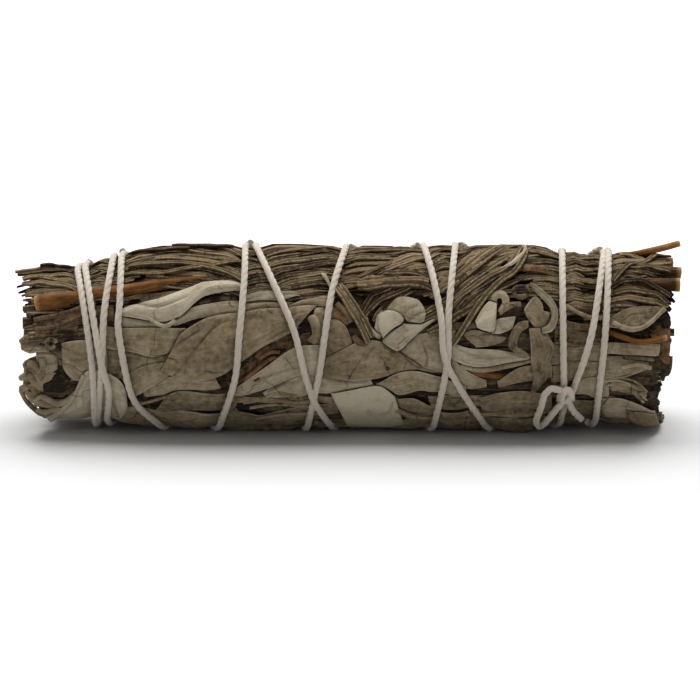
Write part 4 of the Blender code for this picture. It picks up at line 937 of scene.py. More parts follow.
# The packed leaves take the darker copy with low tones: painted shade inside the bunch
packed_leaves = packed_pile.as_object("packed_leaves", sage_inner_shaded)

# %% [markdown]
# ## The cut ends
# A pressed core closes the inside, and torn leaf edges stand out of both cut ends in rings. Three
# stems run through the bunch, and nothing grows through their cut faces: what would is torn off
# shorter round them.

# %% The stems inside
# Angle, distance from the axis, radius, and where they end at the left and at the right
INNER_STEMS = {
    "stem_middle": (0, 0.0, 1.85, -48.0, 47.5), "stem_back": (150, 8.6, 1.25, -46.5, 49.5),
    "stem_under": (250, 6.6, 1.15, -49.0, 46.0),
}


def near_stem(angle, reach, margin=0.45):
    """Whether places at a cut end, by angle and distance from the axis, lie in or against an inner stem."""
    near = np.zeros(np.shape(angle + reach), bool)
    for turned, out, radius, *_ in INNER_STEMS.values():
        away = np.hypot(reach * np.cos(angle) - out * math.cos(math.radians(turned)),
                        reach * np.sin(angle) - out * math.sin(math.radians(turned)))
        near |= away < radius + margin
    return near


# %% The pressed core and the leaf ends
END_BASE = {-1: -43.5, 1: 43.0}
TORN_BACK = 44.0
# Distance from the axis, and how many leaves there are round it
END_RINGS = ((2.9, 5), (4.6, 7), (6.8, 9), (9.0, 12), (11.0, 14))


def core_sheet(pile, depth=2.4, left=-46.4, right=45.2):
    """A wrinkled closed body inside the bunch: a sheet wrapped right round, both ends drawn in."""
    u, turn = grid(130, 120, (0, math.tau))
    closing = np.minimum(np.minimum(u, 1 - u) * 14, 1)
    x = left + (right - left) * u + 0.8 * np.sin(3 * turn) * (1 - closing)
    waves = 0.35 * (np.sin(23 * turn + 3 * np.sin(x / 9)) + np.sin(41 * turn + x / 5)) * closing
    deep = depth + waves + (girth(x)[0] - depth - 0.4) * (1 - closing) ** 2
    pile.add_sheet(place(x, turn, deep), 0.3, (0.08, 0, 0.5), (x, np.sin(turn), 0))


def end_leaf(pile, side, angle, reach, width, proud, tone, brown, seed, curl, root=6.0):
    """A leaf that runs out of a cut end at a distance from the axis, curled round its own length."""
    length = root + proud
    u, v = grid(15, 12, (-1, 1))
    ragged = 0.7 * ripple(v * 4, 0 * v, seed, reach=3) * u
    x = END_BASE[side] + side * (-root + u * length + ragged)
    angles = math.radians(angle) + v * width / (2 * max(reach, 3.0))
    out = reach + curl * (v * v - 0.4) * (0.4 + 0.6 * u) + 0.25 * ripple(u * 2, v * 2.5, seed + 3)
    x = np.where(near_stem(angles, out), side * np.minimum(np.abs(x), TORN_BACK), x)
    edge = np.maximum(np.abs(v) ** 8, u ** 14)
    pile.add_sheet(place(x, angles, girth(x)[0] - out), 0.34 * (1 - 0.5 * edge), (tone, edge, brown),
                   (u * length, v, 0))


end_pile = Pile()
core_sheet(end_pile)
end_draw = random.Random(8)
for side in (-1, 1):
    edge_radius = girth(TORN_BACK * side)[0] - 1.5
    for band, (reach, around) in enumerate(END_RINGS):
        for k in range(around):
            angle = 360 * (k + end_draw.uniform(-0.3, 0.3)) / around
            among_needles = 25 < angle % 360 < 190
            if among_needles and end_draw.random() < 0.6:
                continue
            end_leaf(end_pile, side, angle, min(reach + end_draw.uniform(-0.7, 0.7), edge_radius),
                     end_draw.uniform(3.5, 6.5), end_draw.uniform(2.0, 5.8), end_draw.uniform(0.4, 1.0),
                     end_draw.uniform(0, 0.4), 400 + 20 * band + k, end_draw.uniform(-1.6, 1.6))
# The core and the leaf ends at the cut ends take the darker copy too: painted shade
end_leaves = end_pile.as_object("end_leaves", sage_inner_shaded)
sage_leaves_low = low_pile.as_object("sage_leaves_low", sage_front)

# %% [markdown]
# ## Needle leaves
# The second herb has narrow leaves with edges rolled under, so each shows as a slim rod with a groove
# and a paler ridge. They lie along the bunch in sprays that sweep the same way. A spray is drawn by one
# line, and its needles are seeded copies beside it. Each needle is only a line with a radius; a tree of
# geometry nodes sweeps one grooved profile along all the lines, which is light to change.


# %% Grow a mesh with a geometry tree
def geometry_tree(name, inputs):
    """A new geometry tree, and its named inputs as numbers."""
    tree = bpy.data.node_groups.new(name, "GeometryNodeTree")
    tree.interface.new_socket("Geometry", in_out='INPUT', socket_type='NodeSocketGeometry')
    for title, kind, value in (*inputs, ("Material", 'Material', None)):
        made = tree.interface.new_socket(title, in_out='INPUT', socket_type="NodeSocket" + kind)
        if value is not None:
            made.default_value = value
    tree.interface.new_socket("Geometry", in_out='OUTPUT', socket_type='NodeSocketGeometry')
    given = tree.nodes.new("NodeGroupInput").outputs
    return tree, {socket.name: Number(tree, socket) for socket in given if socket.name}


def end_tree(tree, given, geometry):
    """End a tree in real geometry with its material."""
    real = node(tree, "GeometryNodeRealizeInstances", {0: geometry}).outputs[0]
    done = node(tree, "GeometryNodeSetMaterial", {0: real, "Material": given["Material"]}).outputs[0]
    node(tree, "NodeGroupOutput", {0: done})
    return tree


def grow(thing, tree, values, name):
    """Run a geometry tree on an object with its inputs set, and keep the result as a plain mesh."""
    machine = thing.modifiers.new(tree.name, 'NODES')
    machine.node_group = tree
    for item in tree.interface.items_tree:
        if item.in_out == 'INPUT' and item.name in values:
            machine[item.identifier] = values[item.name]
    bpy.context.view_layer.update()
    grown = bpy.data.meshes.new_from_object(thing.evaluated_get(bpy.context.evaluated_depsgraph_get()))
    thing.modifiers.remove(machine)
    bpy.data.objects.remove(thing)
    grown.calc_loop_triangles()
    print(name, "has", len(grown.loop_triangles), "triangles")
    return add_object(name, grown)


def line_object(name, lines):
    """One curve object from many lines of points in metres, each with a radius in metres at every point."""
    curve = bpy.data.curves.new(name, 'CURVE')
    curve.dimensions = '3D'
    for points, radii, *_ in lines:
        spline = curve.splines.new('POLY')
        spline.points.add(len(points) - 1)
        spline.points.foreach_set("co", np.column_stack([points, np.ones(len(points))]).ravel())
        spline.points.foreach_set("radius", np.asarray(radii, float))
    return add_object(name, curve)


# %% The geometry nodes that turn lines into needles
def kept_number(tree, title, geometry, value, domain):
    """The geometry with a number kept in it by name."""
    return node(tree, "GeometryNodeStoreNamedAttribute", {
        "Name": title, "Geometry": geometry, "Value": value}, data_type='FLOAT', domain=domain).outputs[0]


def needle_tree():
    """Sweep a grooved flat profile along every line, its flat side facing out of the bunch."""
    tree, given = geometry_tree("needle leaves", [
        ("Flatness", 'Float', 0.55), ("Groove", 'Float', 0.30), ("Sides", 'Int', 10), ("Seed", 'Int', 4),
        ("Upper count", 'Int', 100)])
    position = node(tree, "GeometryNodeInputPosition").outputs[0]
    flat = vector(tree, 'MULTIPLY', position, (0, 1, 1))
    outward = vector(tree, 'NORMALIZE', vector(tree, 'SUBTRACT', flat, (0, 0, AXIS_HEIGHT * MM)))
    facing = node(tree, "GeometryNodeSetCurveNormal", {"Curve": given["Geometry"], "Normal": outward},
                  mode='FREE')
    index = number(tree, "GeometryNodeInputIndex")
    tone = number(tree, "FunctionNodeRandomValue", {
        "Min": 0.0, "Max": 1.0, "ID": index, "Seed": given["Seed"]}, "Value", data_type='FLOAT')
    # Needles past the upper count lie deeper and get a lower tone: painted shade
    buried = index.maths('GREATER_THAN', index, given["Upper count"])
    toned = kept_number(tree, "needle_tone", facing.outputs[0], tone - buried * 0.8, 'CURVE')
    circle = node(tree, "GeometryNodeCurvePrimitiveCircle", {"Radius": 1.0, "Resolution": given["Sides"]})
    parts = node(tree, "ShaderNodeSeparateXYZ", {0: position})
    thick, across = (Number(tree, socket) for socket in parts.outputs[:2])
    middle = (1.0 - abs(across) * 1.6).clamped()
    hollow = middle * (given["Groove"] * thick.maths('SIGN', thick))
    shaped = node(tree, "ShaderNodeCombineXYZ", {0: thick * given["Flatness"] - hollow, 1: across})
    named = kept_number(tree, "needle_across", circle.outputs[0], across, 'POINT')
    profile = node(tree, "GeometryNodeSetPosition", {0: named, "Position": shaped.outputs[0]})
    swept = node(tree, "GeometryNodeCurveToMesh", {
        "Curve": toned, "Profile Curve": profile.outputs[0], "Fill Caps": True,
        "Scale": node(tree, "GeometryNodeInputRadius").outputs[0]})
    return end_tree(tree, given, node(tree, "GeometryNodeSetShadeSmooth", {0: swept.outputs[0]}).outputs[0])


needle_nodes = needle_tree()
print("needle tree has", len(needle_nodes.nodes), "nodes")

# %% [markdown]
# ### The look of a needle
# Olive skin shows in the groove and on the flanks, and the rolled edges are painted paler and greyer, a
# painted highlight along them. Some needles have dried brown. Fine ridges run along each one.


# %% The needle material
def needle_material():
    """Dried needles: olive to brown by each one's tone, with a painted highlight on the rolled edges."""
    material, tree, skin = new_material("needle olive", {"Specular IOR Level": 0.04})
    tone = number(tree, "ShaderNodeAttribute", None, "Fac", attribute_name="needle_tone")
    across = number(tree, "ShaderNodeAttribute", None, "Fac", attribute_name="needle_across")
    blotch = blotched(tree, 2.2, 2.4)
    mixed = tone + (blotch - 0.5) * 0.5
    olive = ramp(tree, mixed, (0.0, (0.011, 0.006, 0.002, 1)), (0.35, (0.044, 0.027, 0.013, 1)),
                 (0.62, (0.076, 0.056, 0.022, 1)), (1.0, (0.150, 0.098, 0.052, 1)))
    # The pale rolled edges are a painted highlight, stronger on the lighter needles
    upper_edge = (1.0 - abs(across - 0.5) * 3.0).clamped()
    lower_edge = (0.55 - abs(across + 0.66) * 2.6).clamped()
    edges = (upper_edge + lower_edge) * (mixed * 1.15 + 0.25).clamped()
    patchy = (blotched(tree, 0.5, 2.4) * 2.2 - 0.35).clamped()
    colour = colour_mix(tree, (edges * patchy).clamped(), olive, (0.40, 0.315, 0.215, 1))
    height = grained(tree, 0.22, 0.5) + (across * 16.0).sine() * 0.22
    finish_skin(tree, skin, colour, blotch * 0.25 + 0.75, height, 0.5, 0.12 * MM)
    return material


needle_olive = needle_material()

# %% [markdown]
# ### Where the needles lie
# On the front each spray is drawn as it lies in the photograph: its line, how many needles, how wide
# the spray is, how thick they are and how deep they lie. Over the top and the back, where nothing is
# seen, needles follow a seeded rule with the same lengths and slopes. Cut needles show at both ends.

# %% Lay out the sprays
# Deeper layers of a spray: how much deeper, and what share of its needles they have
SPRAY_LAYERS = ((0.0, 1.0), (0.9, 0.9), (1.8, 0.7))
NEEDLE_STEPS = 13
SPRAYS = [
    ([(-51.5, 10.4), (-46, 10.9), (-40, 11.1), (-33, 11.6)], 7, 2.6, 0.55, 0.15),
    ([(-50.5, 7.6), (-45, 7.9), (-38, 8.2), (-30, 9.0)], 10, 4.2, 0.55, 0.3),
    ([(-49, 4.6), (-45, 4.9), (-39, 6.0), (-33, 7.2)], 5, 2.4, 0.5, 0.7),
    ([(-36, 10.2), (-28, 10.4), (-22, 10.0), (-14, 7.9)], 12, 5.0, 0.6, 0.3),
    ([(-36, 12.4), (-28, 13.4), (-20, 12.8), (-12, 11.0)], 10, 3.4, 0.6, 0.2),
    ([(-22, 8.4), (-14, 8.9), (-6, 10.2), (2, 11.2)], 13, 5.2, 0.58, 0.35),
    ([(-18, 11.2), (-8, 12.8), (0, 13.5), (8, 13.6)], 10, 3.2, 0.62, 0.2),
    ([(-12, 7.0), (-7, 7.6), (-1, 8.2), (3, 8.8)], 6, 2.6, 0.55, 0.6),
    ([(-3, 10.9), (4, 11.3), (10, 11.9), (15, 12.8)], 12, 4.6, 0.58, 0.3),
    ([(2, 8.9), (7, 10.9), (12, 12.6), (16, 13.4)], 7, 3.0, 0.6, 0.15),
    ([(0.5, 8.0), (5, 8.8), (9, 9.4), (14, 9.0)], 3, 2.2, 0.95, -0.05),
    ([(2.5, 6.0), (6, 7.2), (10, 8.4), (15, 9.3)], 5, 2.8, 0.6, 0.5),
    ([(3.0, 1.6), (4.8, 4.6), (7.6, 7.0), (12, 8.4)], 5, 2.6, 0.62, 0.1),
    ([(11, 3.5), (16, 6.5), (21.5, 10.5), (27, 13.6)], 17, 8.5, 0.66, 0.1),
    ([(13, 10), (17, 11.2), (22, 12.8), (29, 14.0)], 10, 5.0, 0.62, 0.3),
    ([(24, 8.8), (30, 9.3), (36, 9.0), (42, 8.6)], 13, 6.0, 0.55, 0.35),
    ([(26, 12.4), (33, 12.8), (40, 12.7), (46, 12.2)], 10, 3.4, 0.58, 0.2),
    ([(32, 5.2), (37, 5.5), (43, 5.8), (48.5, 4.9)], 12, 4.8, 0.55, 0.4),
    ([(40, 7.6), (44, 8.2), (48, 7.2), (50.5, 5.6)], 6, 2.6, 0.6, 0.2),
    ([(38, 10.6), (43, 11.6), (47, 11.2), (50.5, 10.2)], 8, 3.4, 0.55, 0.25),
]


def needle_line(draw, x, angle, depth, radius, taper=0.42):
    """One needle along arrays of x, angle and depth, tapered at both ends and pressed by the string."""
    share = np.linspace(0, 1, len(x))
    body = taper + (1 - taper) * np.clip(np.sin(math.pi * np.clip(share, 0.02, 0.98)) * 2.2, 0, 1)
    wobble = 0.10 * ripple(share * 9, 0, draw.randrange(9999))
    deep = depth + pinch(x, angle, 0.7, 1.3) + 0.12 * ripple(share * 7, 0, draw.randrange(9999))
    radii = radius * body * (1 + 0.08 * ripple(share * 11, 0, draw.randrange(9999)))
    return place(x, angle + wobble / RADIUS, deep), radii * MM, float(np.mean(depth))


def spray_lines(draw):
    """The needles of every drawn spray, with more of them deeper down than on top."""
    lines = []
    for drawn, count, spread, radius, depth in SPRAYS:
        for layer, share in SPRAY_LAYERS:
            for k in range(round(count * share)):
                aside = (k + draw.uniform(0.1, 0.9)) / round(count * share) - 0.5
                begin, finish = draw.uniform(0, 0.28), draw.uniform(0.68, 1.0)
                spots = smooth_line(drawn, np.linspace(begin, finish, NEEDLE_STEPS))
                fan = draw.uniform(-0.7, 0.7)
                h = spots[:, 1] + aside * spread + fan * np.linspace(-0.5, 0.5, NEEDLE_STEPS)
                x, angle = in_front(spots[:, 0] + draw.uniform(-1.5, 1.5), h)
                lines.append(needle_line(draw, x, angle, depth + layer + draw.uniform(0.1, 0.65),
                                         radius * draw.uniform(0.65, 1.15)))
    return lines


def ruled_lines(draw, start, end, every, depths):
    """Needles between two angles by a seeded rule, in layers from the deepest out."""
    lines = []
    for depth in depths:
        for angle in np.arange(start, end, math.degrees(every / RADIUS)):
            x = -51.0 + draw.uniform(0, 6)
            while x < LEAF_ENDS[1]:
                long = draw.uniform(14, 32)
                reach = min(x + long, draw.uniform(46.5, 50.5))
                spots = np.linspace(x, reach, NEEDLE_STEPS)
                lean = draw.uniform(-0.11, 0.11)
                turn = np.radians(angle + draw.uniform(-5, 5)) + lean * (spots - spots.mean()) / RADIUS
                turn = turn + 0.5 * ripple(np.linspace(0, 4, NEEDLE_STEPS), 0, draw.randrange(9999)) / RADIUS
                lines.append(needle_line(draw, spots, turn, depth + draw.uniform(-0.2, 0.45),
                                         draw.uniform(0.42, 0.68)))
                x = reach + draw.uniform(-6, 1)
    return lines


# %% Needles that stand out on their own
# A line of x and h, a radius and a depth, or the depths at both ends
SINGLE_NEEDLES = [
    ([(-2.3, 8.6), (-0.3, 5.3), (1.8, 1.9), (3.1, -1.1)], 0.52, -0.35),
    ([(-1.3, 8.5), (0.6, 5.5), (2.3, 2.9), (3.8, 0.0)], 0.5, -0.3),
    ([(1.3, 8.1), (4.3, 8.5), (7.9, 9.1), (12.7, 8.9)], 0.62, -0.1),
    ([(5.4, 9.8), (8.6, 10.1), (12.7, 9.6)], 0.5, 0.0),
    ([(2.1, 3.8), (3.5, 6.2), (5.4, 7.2), (6.7, 7.7)], 0.46, 0.0),
    ([(2.6, 3.3), (4.5, 5.3), (6.7, 6.5), (9.8, 7.9)], 0.46, 0.05),
    ([(16.4, -1.4), (18.8, 2.4), (21.2, 6.0), (23.6, 8.4), (26.0, 10.1), (27.7, 12.8),
      (27.7, 13.9)], 0.56, -0.15),
    ([(16.8, 6.0), (21.2, 8.9), (23.6, 10.3), (25.5, 11.5), (27.0, 13.9)], 0.5, -0.1),
    ([(15.8, 3.6), (19, 6.8), (22.5, 9.0), (26, 10.6)], 0.5, 0.0),
    ([(-52.4, 10.4), (-49.6, 10.8), (-46.5, 11.0), (-42.5, 11.0)], 0.62, (-1.2, 0.2)),
    ([(-48.5, 12.0), (-46.0, 11.6), (-42.8, 11.2)], 0.56, (-1.0, 0.1)),
    ([(-52.0, 9.6), (-48, 10.2), (-43.5, 10.6)], 0.52, (-0.8, 0.2)),
    ([(-50.6, 10.2), (-47, 10.6), (-43, 10.8)], 0.56, (-0.6, 0.3)),
    ([(-51.2, 8.8), (-48, 9.5), (-43, 10.0)], 0.56, (-0.3, 0.3)),
    ([(-48.4, 11.8), (-45.5, 11.5), (-43.0, 11.1)], 0.5, 0.2),
    ([(-50.2, 9.5), (-47, 9.2), (-42.8, 8.9)], 0.5, 0.2),
    ([(-51.4, 8.3), (-48.5, 8.5), (-42.8, 7.9)], 0.55, 0.2),
    ([(-50.9, 6.6), (-47.5, 7.2), (-43, 7.6)], 0.5, 0.5),
    ([(-51.0, 5.2), (-48, 5.9), (-45, 6.4)], 0.5, 0.9),
    ([(-50.8, 4.0), (-48.6, 4.0), (-45, 4.4)], 0.5, 1.0),
    ([(41.0, 8.0), (44, 8.8), (47, 8.4), (50.6, 6.3)], 0.5, 0.0),
    ([(41, 7.0), (44.5, 7.4), (48, 6.8), (50.2, 5.6)], 0.46, 0.1),
    ([(41, 6.0), (44.5, 6.1), (48.2, 5.4)], 0.44, 0.1),
    ([(41.6, 8.9), (44, 11.4), (46.6, 11.8), (48.4, 13.0)], 0.5, -0.1),
    ([(43.8, 11.2), (47.5, 11.1), (50.7, 10.2)], 0.55, 0.1),
    ([(44, 9.4), (47, 9.3), (50.9, 9.0)], 0.5, 0.8), ([(44, 10.9), (48, 10.8), (50.4, 10.8)], 0.45, 0.8),
    ([(45, 7.2), (48, 7.0), (50.6, 6.9)], 0.5, 0.6), ([(44, 12.3), (47.5, 12.3), (50.2, 12.4)], 0.5, 0.6),
    ([(44, 13.0), (46.5, 13.3), (48.9, 13.4)], 0.45, 0.5), ([(43, 9.0), (46, 8.9), (50.2, 8.9)], 0.5, 0.2),
    ([(45, 6.4), (47.5, 6.0), (50.4, 4.9)], 0.5, 0.5), ([(44, 5.2), (47, 5.0), (49.6, 4.0)], 0.45, 0.9),
    ([(-41.8, 11.7), (-38.6, 12.1), (-35.0, 12.5)], 0.5, 0.3),
    ([(-40.2, 12.6), (-37.5, 12.8), (-34, 13.1)], 0.45, 0.3),
    ([(-34.6, 13.4), (-30, 13.8), (-25, 14.0)], 0.55, -0.1),
    ([(-27.7, 14.5), (-24, 14.4), (-18, 14.3)], 0.5, -0.2),
    ([(-48.4, 11.4), (-45.5, 11.3), (-42.5, 10.9)], 0.6, 0.0),
    ([(-50.4, 8.9), (-47.5, 8.6), (-43, 8.4)], 0.55, 0.5),
    ([(-50.0, 3.2), (-48, 3.0), (-45, 3.2)], 0.6, 1.2), ([(-50.8, 7.5), (-48, 7.6), (-44, 7.3)], 0.5, 0.8),
    ([(-34.6, 11.3), (-28, 11.6), (-22, 11.0), (-16.5, 9.2)], 0.46, 0.0),
    ([(-36, 10.2), (-29, 10.2), (-23, 11.2), (-17, 12.2)], 0.42, 0.1),
]


def single_lines(draw, steps=19):
    """The needles that are drawn one by one."""
    lines = []
    for drawn, radius, depth in SINGLE_NEEDLES:
        spots = smooth_line(drawn, steps)
        deep = np.linspace(*depth, steps) if isinstance(depth, tuple) else depth
        x, angle = in_front(*spots.T, np.minimum(deep, 0))
        lines.append(needle_line(draw, x, angle, deep, radius, 0.75))
    return lines


def cut_lines(draw, tries=210, steps=5):
    """Needle ends at both cut ends, clear of the stems inside."""
    lines = []
    for side in (-1, 1):
        for _ in range(tries):
            reach, angle = 11.6 * math.sqrt(draw.random()), draw.uniform(15, 235)
            if near_stem(math.radians(angle), reach):
                continue
            tip = draw.uniform(47.4, 50.4) if reach > 5 else draw.uniform(46.2, 48.6)
            spots = side * np.linspace(40.0, tip, steps)
            lean = 0.4 * np.linspace(0, draw.uniform(-1, 1), steps) / max(reach, 2)
            depth = girth(spots)[0] - reach - draw.uniform(0, 0.4) * np.linspace(0, 1, steps)
            points = place(spots, math.radians(angle) + lean, np.maximum(depth, 0.8))
            lines.append((points, np.full(steps, draw.uniform(0.34, 0.62) * MM), 0.0))
    return lines


# %% Grow the needles
SHALLOW = 1.0
needle_draw = random.Random(21)
drawn_one_by_one, end_lines = single_lines(needle_draw), cut_lines(needle_draw)
top_lines = drawn_one_by_one + spray_lines(needle_draw)
top_lines += ruled_lines(needle_draw, 70, 112, 1.5, (1.9, 1.1, 0.55))
back_lines = ruled_lines(needle_draw, 110, 202, 1.5, (1.7, 1.0, 0.5)) + end_lines
print("needles on top and front:", len(top_lines), "over the back:", len(back_lines))


def grow_needles(name, lines):
    """Grow the needles of one piece; the shallow ones come first, and all the deeper ones get painted shade.
    """
    lines.sort(key=lambda line: line[2])
    upper_count = sum(1 for line in lines if line[2] < SHALLOW)
    return grow(line_object(name + " lines", lines), needle_nodes, {
        "Flatness": 0.62, "Groove": 0.22, "Sides": 8, "Seed": 4, "Upper count": upper_count,
        "Material": needle_olive}, name)


needle_leaves_top = grow_needles("needle_leaves_top", top_lines)
needle_leaves_back = grow_needles("needle_leaves_back", back_lines)

# %% [markdown]
# ## Woody stems
# The stems are slightly knobbly rods of orange-brown bark with a paler cut end. A turned sheet would
# do, but a closed tube whose radius changes along it also gives the scars where leaves grew.


# %% The bark material
def bark_material():
    """Dry bark in streaks along the stem, pale where the wood is cut across."""
    material, tree, skin = new_material("bark", {"Specular IOR Level": 0.12})
    tone, cut, _ = attribute(tree, "leaf_shade")
    spot = node(tree, "ShaderNodeAttribute", attribute_name="leaf_place").outputs["Vector"]
    streak = number(tree, "ShaderNodeTexNoise", {
        "Vector": vector(tree, 'MULTIPLY', spot, (0.16, 2.2, 1.0)), "Scale": 2.6, "Detail": 6.0,
        "Roughness": 0.65, "Distortion": 0.4}, "Fac")
    lit = streak * 0.9 + blotched(tree, 2.5, 2.0) * 0.3 + (tone - 0.6)
    brown = ramp(tree, lit, (0.25, (0.028, 0.012, 0.004, 1)), (0.6, (0.165, 0.068, 0.017, 1)),
                 (0.95, (0.36, 0.18, 0.055, 1)))
    colour = colour_mix(tree, cut, brown, (0.40, 0.235, 0.085, 1))
    finish_skin(tree, skin, colour, 0.8, streak + grained(tree, 0.2, 0.4) * 0.3, 0.6, 0.22 * MM)
    return material


bark = bark_material()


# %% A knobbly rod
def unit(vectors):
    """Vectors scaled to a length of 1."""
    return vectors / np.linalg.norm(vectors, axis=1, keepdims=True)


def close_ends(mesh):
    """Close the two middles of a rod's ends and point its faces outwards."""
    shape = bmesh.new()
    shape.from_mesh(mesh)
    bmesh.ops.remove_doubles(shape, verts=shape.verts, dist=1e-7)
    bmesh.ops.recalc_face_normals(shape, faces=shape.faces)
    shape.to_mesh(mesh)
    shape.free()
    mesh.shade_smooth()


def woody_stem(name, spots, radius, tone, seed, knobs=0.12, taper=1.0, sides=18):
    """A closed knobbly rod along points in metres, with a cut face at each end."""
    ahead = unit(np.gradient(spots, axis=0))
    aside = unit(np.cross(ahead, np.array([0.0, 0.3, 1.0])))
    upward = np.cross(aside, ahead)
    turn = np.linspace(0, math.tau, sides, endpoint=False)
    length = np.concatenate([[0], np.cumsum(np.linalg.norm(np.diff(spots, axis=0), axis=1))]) / MM
    slim = 1 - (1 - taper) * (length[:, None] / length[-1]) ** 2
    waves = ripple(length[:, None] / 2.2, turn[None] * 0.9, seed)
    knobbly = 1 + knobs * waves + 0.05 * np.sin(5 * turn)[None]
    swell = radius * slim * knobbly
    spoke = aside[:, None] * np.cos(turn)[None, :, None] + upward[:, None] * np.sin(turn)[None, :, None]
    body = spots[:, None] + spoke * swell[..., None] * MM
    near_end = np.clip(1 - np.minimum(length, length[-1] - length) / 0.8, 0, 1)
    layers = [(0, 0.0, 1.0), (0, 0.55, 1.0), (0, 0.95, 0.8)]
    layers += [(where, 1.0, 0.85 * near_end[where]) for where in range(len(spots))]
    layers += [(-1, 0.95, 0.8), (-1, 0.55, 1.0), (-1, 0.0, 1.0)]
    points, shades, runs = [], [], []
    for where, part, cut in layers:
        bulge = ahead[where] * 0.12 * MM * (1 - part) * (1 if where else -1)
        points.append(spots[where] + (body[where] - spots[where]) * part + bulge)
        shades.append([tone, cut, 0])
        runs.append(length[where])
    rows = len(points)
    index = np.arange(rows * sides).reshape(rows, sides)
    following = np.roll(index, -1, axis=1)
    quads = np.stack([index[:-1], following[:-1], following[1:], index[1:]], -1).reshape(-1, 4)
    mesh = bpy.data.meshes.new(name)
    mesh.from_pydata(np.concatenate(points).tolist(), [], quads.tolist())
    keep_numbers(mesh, "leaf_shade", np.repeat(np.array(shades), sides, axis=0))
    keep_numbers(mesh, "leaf_place", np.column_stack([
        np.repeat(runs, sides), np.tile(np.cos(turn), rows), np.tile(np.sin(turn), rows)]))
    close_ends(mesh)
    mesh.materials.append(bark)
    return add_object(name, mesh)


# %% Build the stems
# A path of x, h and depth, then radius and tone
FRONT_STEMS = {
    "stem_left": ([(-49.0, 4.6, 0.9), (-46, 5.35, 1.0), (-40, 6.4, 1.4), (-34, 7.2, 1.25),
        (-29.2, 8.1, 0.95), (-24.3, 8.95, 0.9), (-20.5, 9.4, 1.3)], 1.32, 0.54),
    "stem_right_thick": ([(52.1, 8.1, 0.6), (46, 8.1, 1.0), (42, 7.6, 2.4), (36, 6.6, 2.6),
        (30, 6.2, 3.0)], 1.06, 0.30),
    "stem_right_middle": ([(52.3, 10.0, 0.9), (46, 10.2, 1.2), (41, 9.8, 2.2), (35, 9.4, 2.4),
        (30, 9.0, 3.0)], 1.0, 0.32),
    "stem_right_upper": ([(51.0, 11.7, 0.9), (46, 11.5, 1.3), (41, 10.8, 2.0), (34, 10.4, 2.3),
        (26, 10.2, 2.6)], 0.68, 0.34),
    "twig_right": ([(52, 14.7, -1.9), (49.5, 14, -1.2), (47, 13.4, -0.4), (44.8, 13, 0.3),
        (42.7, 12.9, 0.6)], 0.5, 0.66),
    "stem_low": ([(34, -6.4, 3.0), (26, -6.3, 1.6), (21, -5.8, 1.2), (16, -5.4, 1.9),
        (10, -5.0, 3.2)], 0.55, 0.58),
    "twig_front": ([(50.1, -0.2, -0.2), (46, -0.8, 0.0), (43, 0.0, 0.3), (40.5, 0.8, 1.2),
        (36, 0.9, 2.4)], 0.42, 0.56),
}
stems = {}
for which, (name, (drawn, radius, tone)) in enumerate(FRONT_STEMS.items()):
    spots = smooth_line(drawn, 60)
    x, angle = in_front(*spots.T)
    taper = 0.3 if name == "stem_left" else 0.9
    stems[name] = woody_stem(name + "_bark", place(x, angle, spots[:, 2]), radius, tone, 60 + which,
                             taper=taper)
for which, (name, (angle, reach, radius, left, right)) in enumerate(INNER_STEMS.items()):
    x = np.linspace(left, right, 70)
    spots = place(x, math.radians(angle) + 0 * x, girth(x)[0] - reach - 0.3 * np.sin(x / 14))
    stems[name] = woody_stem(name + "_bark", spots, radius, 0.5, 80 + which)
print("stems:", len(stems))

# %% [markdown]
# ## Cotton string
# The string is three plies twisted together. Drawn as one smooth rod it would look like wire, so a
# second tree makes three copies of each line, winds them round it and sweeps a small circle along each.
# Where a turn crosses one that was wound before it, it rides over it in a low hump.

# %% The path of the string
ABOVE_FLOOR = STRING_RADIUS + 0.04
# The bow loop, the loose end and the wraps of the knot, as x, h and depth
LOOP = [(34.3, -8.6, -0.3), (33.4, -8.4, -1.0), (32.0, -8.1, -1.2), (30.9, -9.0, -1.3), (30.2, -11.2, -1.2),
        (29.5, -13.2, -1.0), (30.2, -14.0, -1.1), (31.6, -12.6, -1.3), (33.0, -10.9, -1.2),
        (34.3, -9.6, -0.6)]
TAIL = [(33.9, -9.2, -0.5), (34.6, -10.2, -0.8), (35.3, -11.6, -0.9), (36.6, -12.9, -0.7)]
WRAP = [(33.2, -9.9, 0.0), (33.4, -8.9, -0.9), (34.4, -8.3, -1.3), (35.0, -9.0, -1.4), (34.4, -10.0, -1.2),
        (33.6, -9.8, -0.9), (33.9, -8.8, -1.5), (34.9, -8.7, -0.8), (35.1, -9.8, 0.1)]


def off_the_floor(points):
    """Points of a string's middle, none so low that the string would sink into the floor."""
    points[:, 2] = np.maximum(points[:, 2], ABOVE_FLOOR * MM)
    return points


def turn_lines():
    """Every turn as points; where it crosses an earlier one it is lifted over it."""
    lines = []
    last = len(STRING_X) - 1
    for turn, row in enumerate(STRING_X):
        keep = np.ones(len(FULL_TURN), bool)
        if turn == 0:
            keep = FULL_TURN <= STRING_ENDS[0]
        if turn == last:
            keep = FULL_TURN >= STRING_ENDS[last]
        lift = np.zeros(keep.sum())
        for earlier in range(turn):
            away = np.abs(STRING_X[earlier][keep] - row[keep]) / (2.4 * STRING_RADIUS)
            lift = np.maximum(lift, 0.85 * STRING_RADIUS * np.clip(1 - away * away, 0, 1))
        lines.append(off_the_floor(place(row[keep], np.radians(FULL_TURN[keep]), STRING_DEPTH - lift)))
    return lines


def free_line(drawn, count):
    """A free stretch of string drawn on the front view with its depth."""
    spots = smooth_line(drawn, count)
    x, angle = in_front(*spots.T)
    return off_the_floor(place(x, angle, spots[:, 2]))


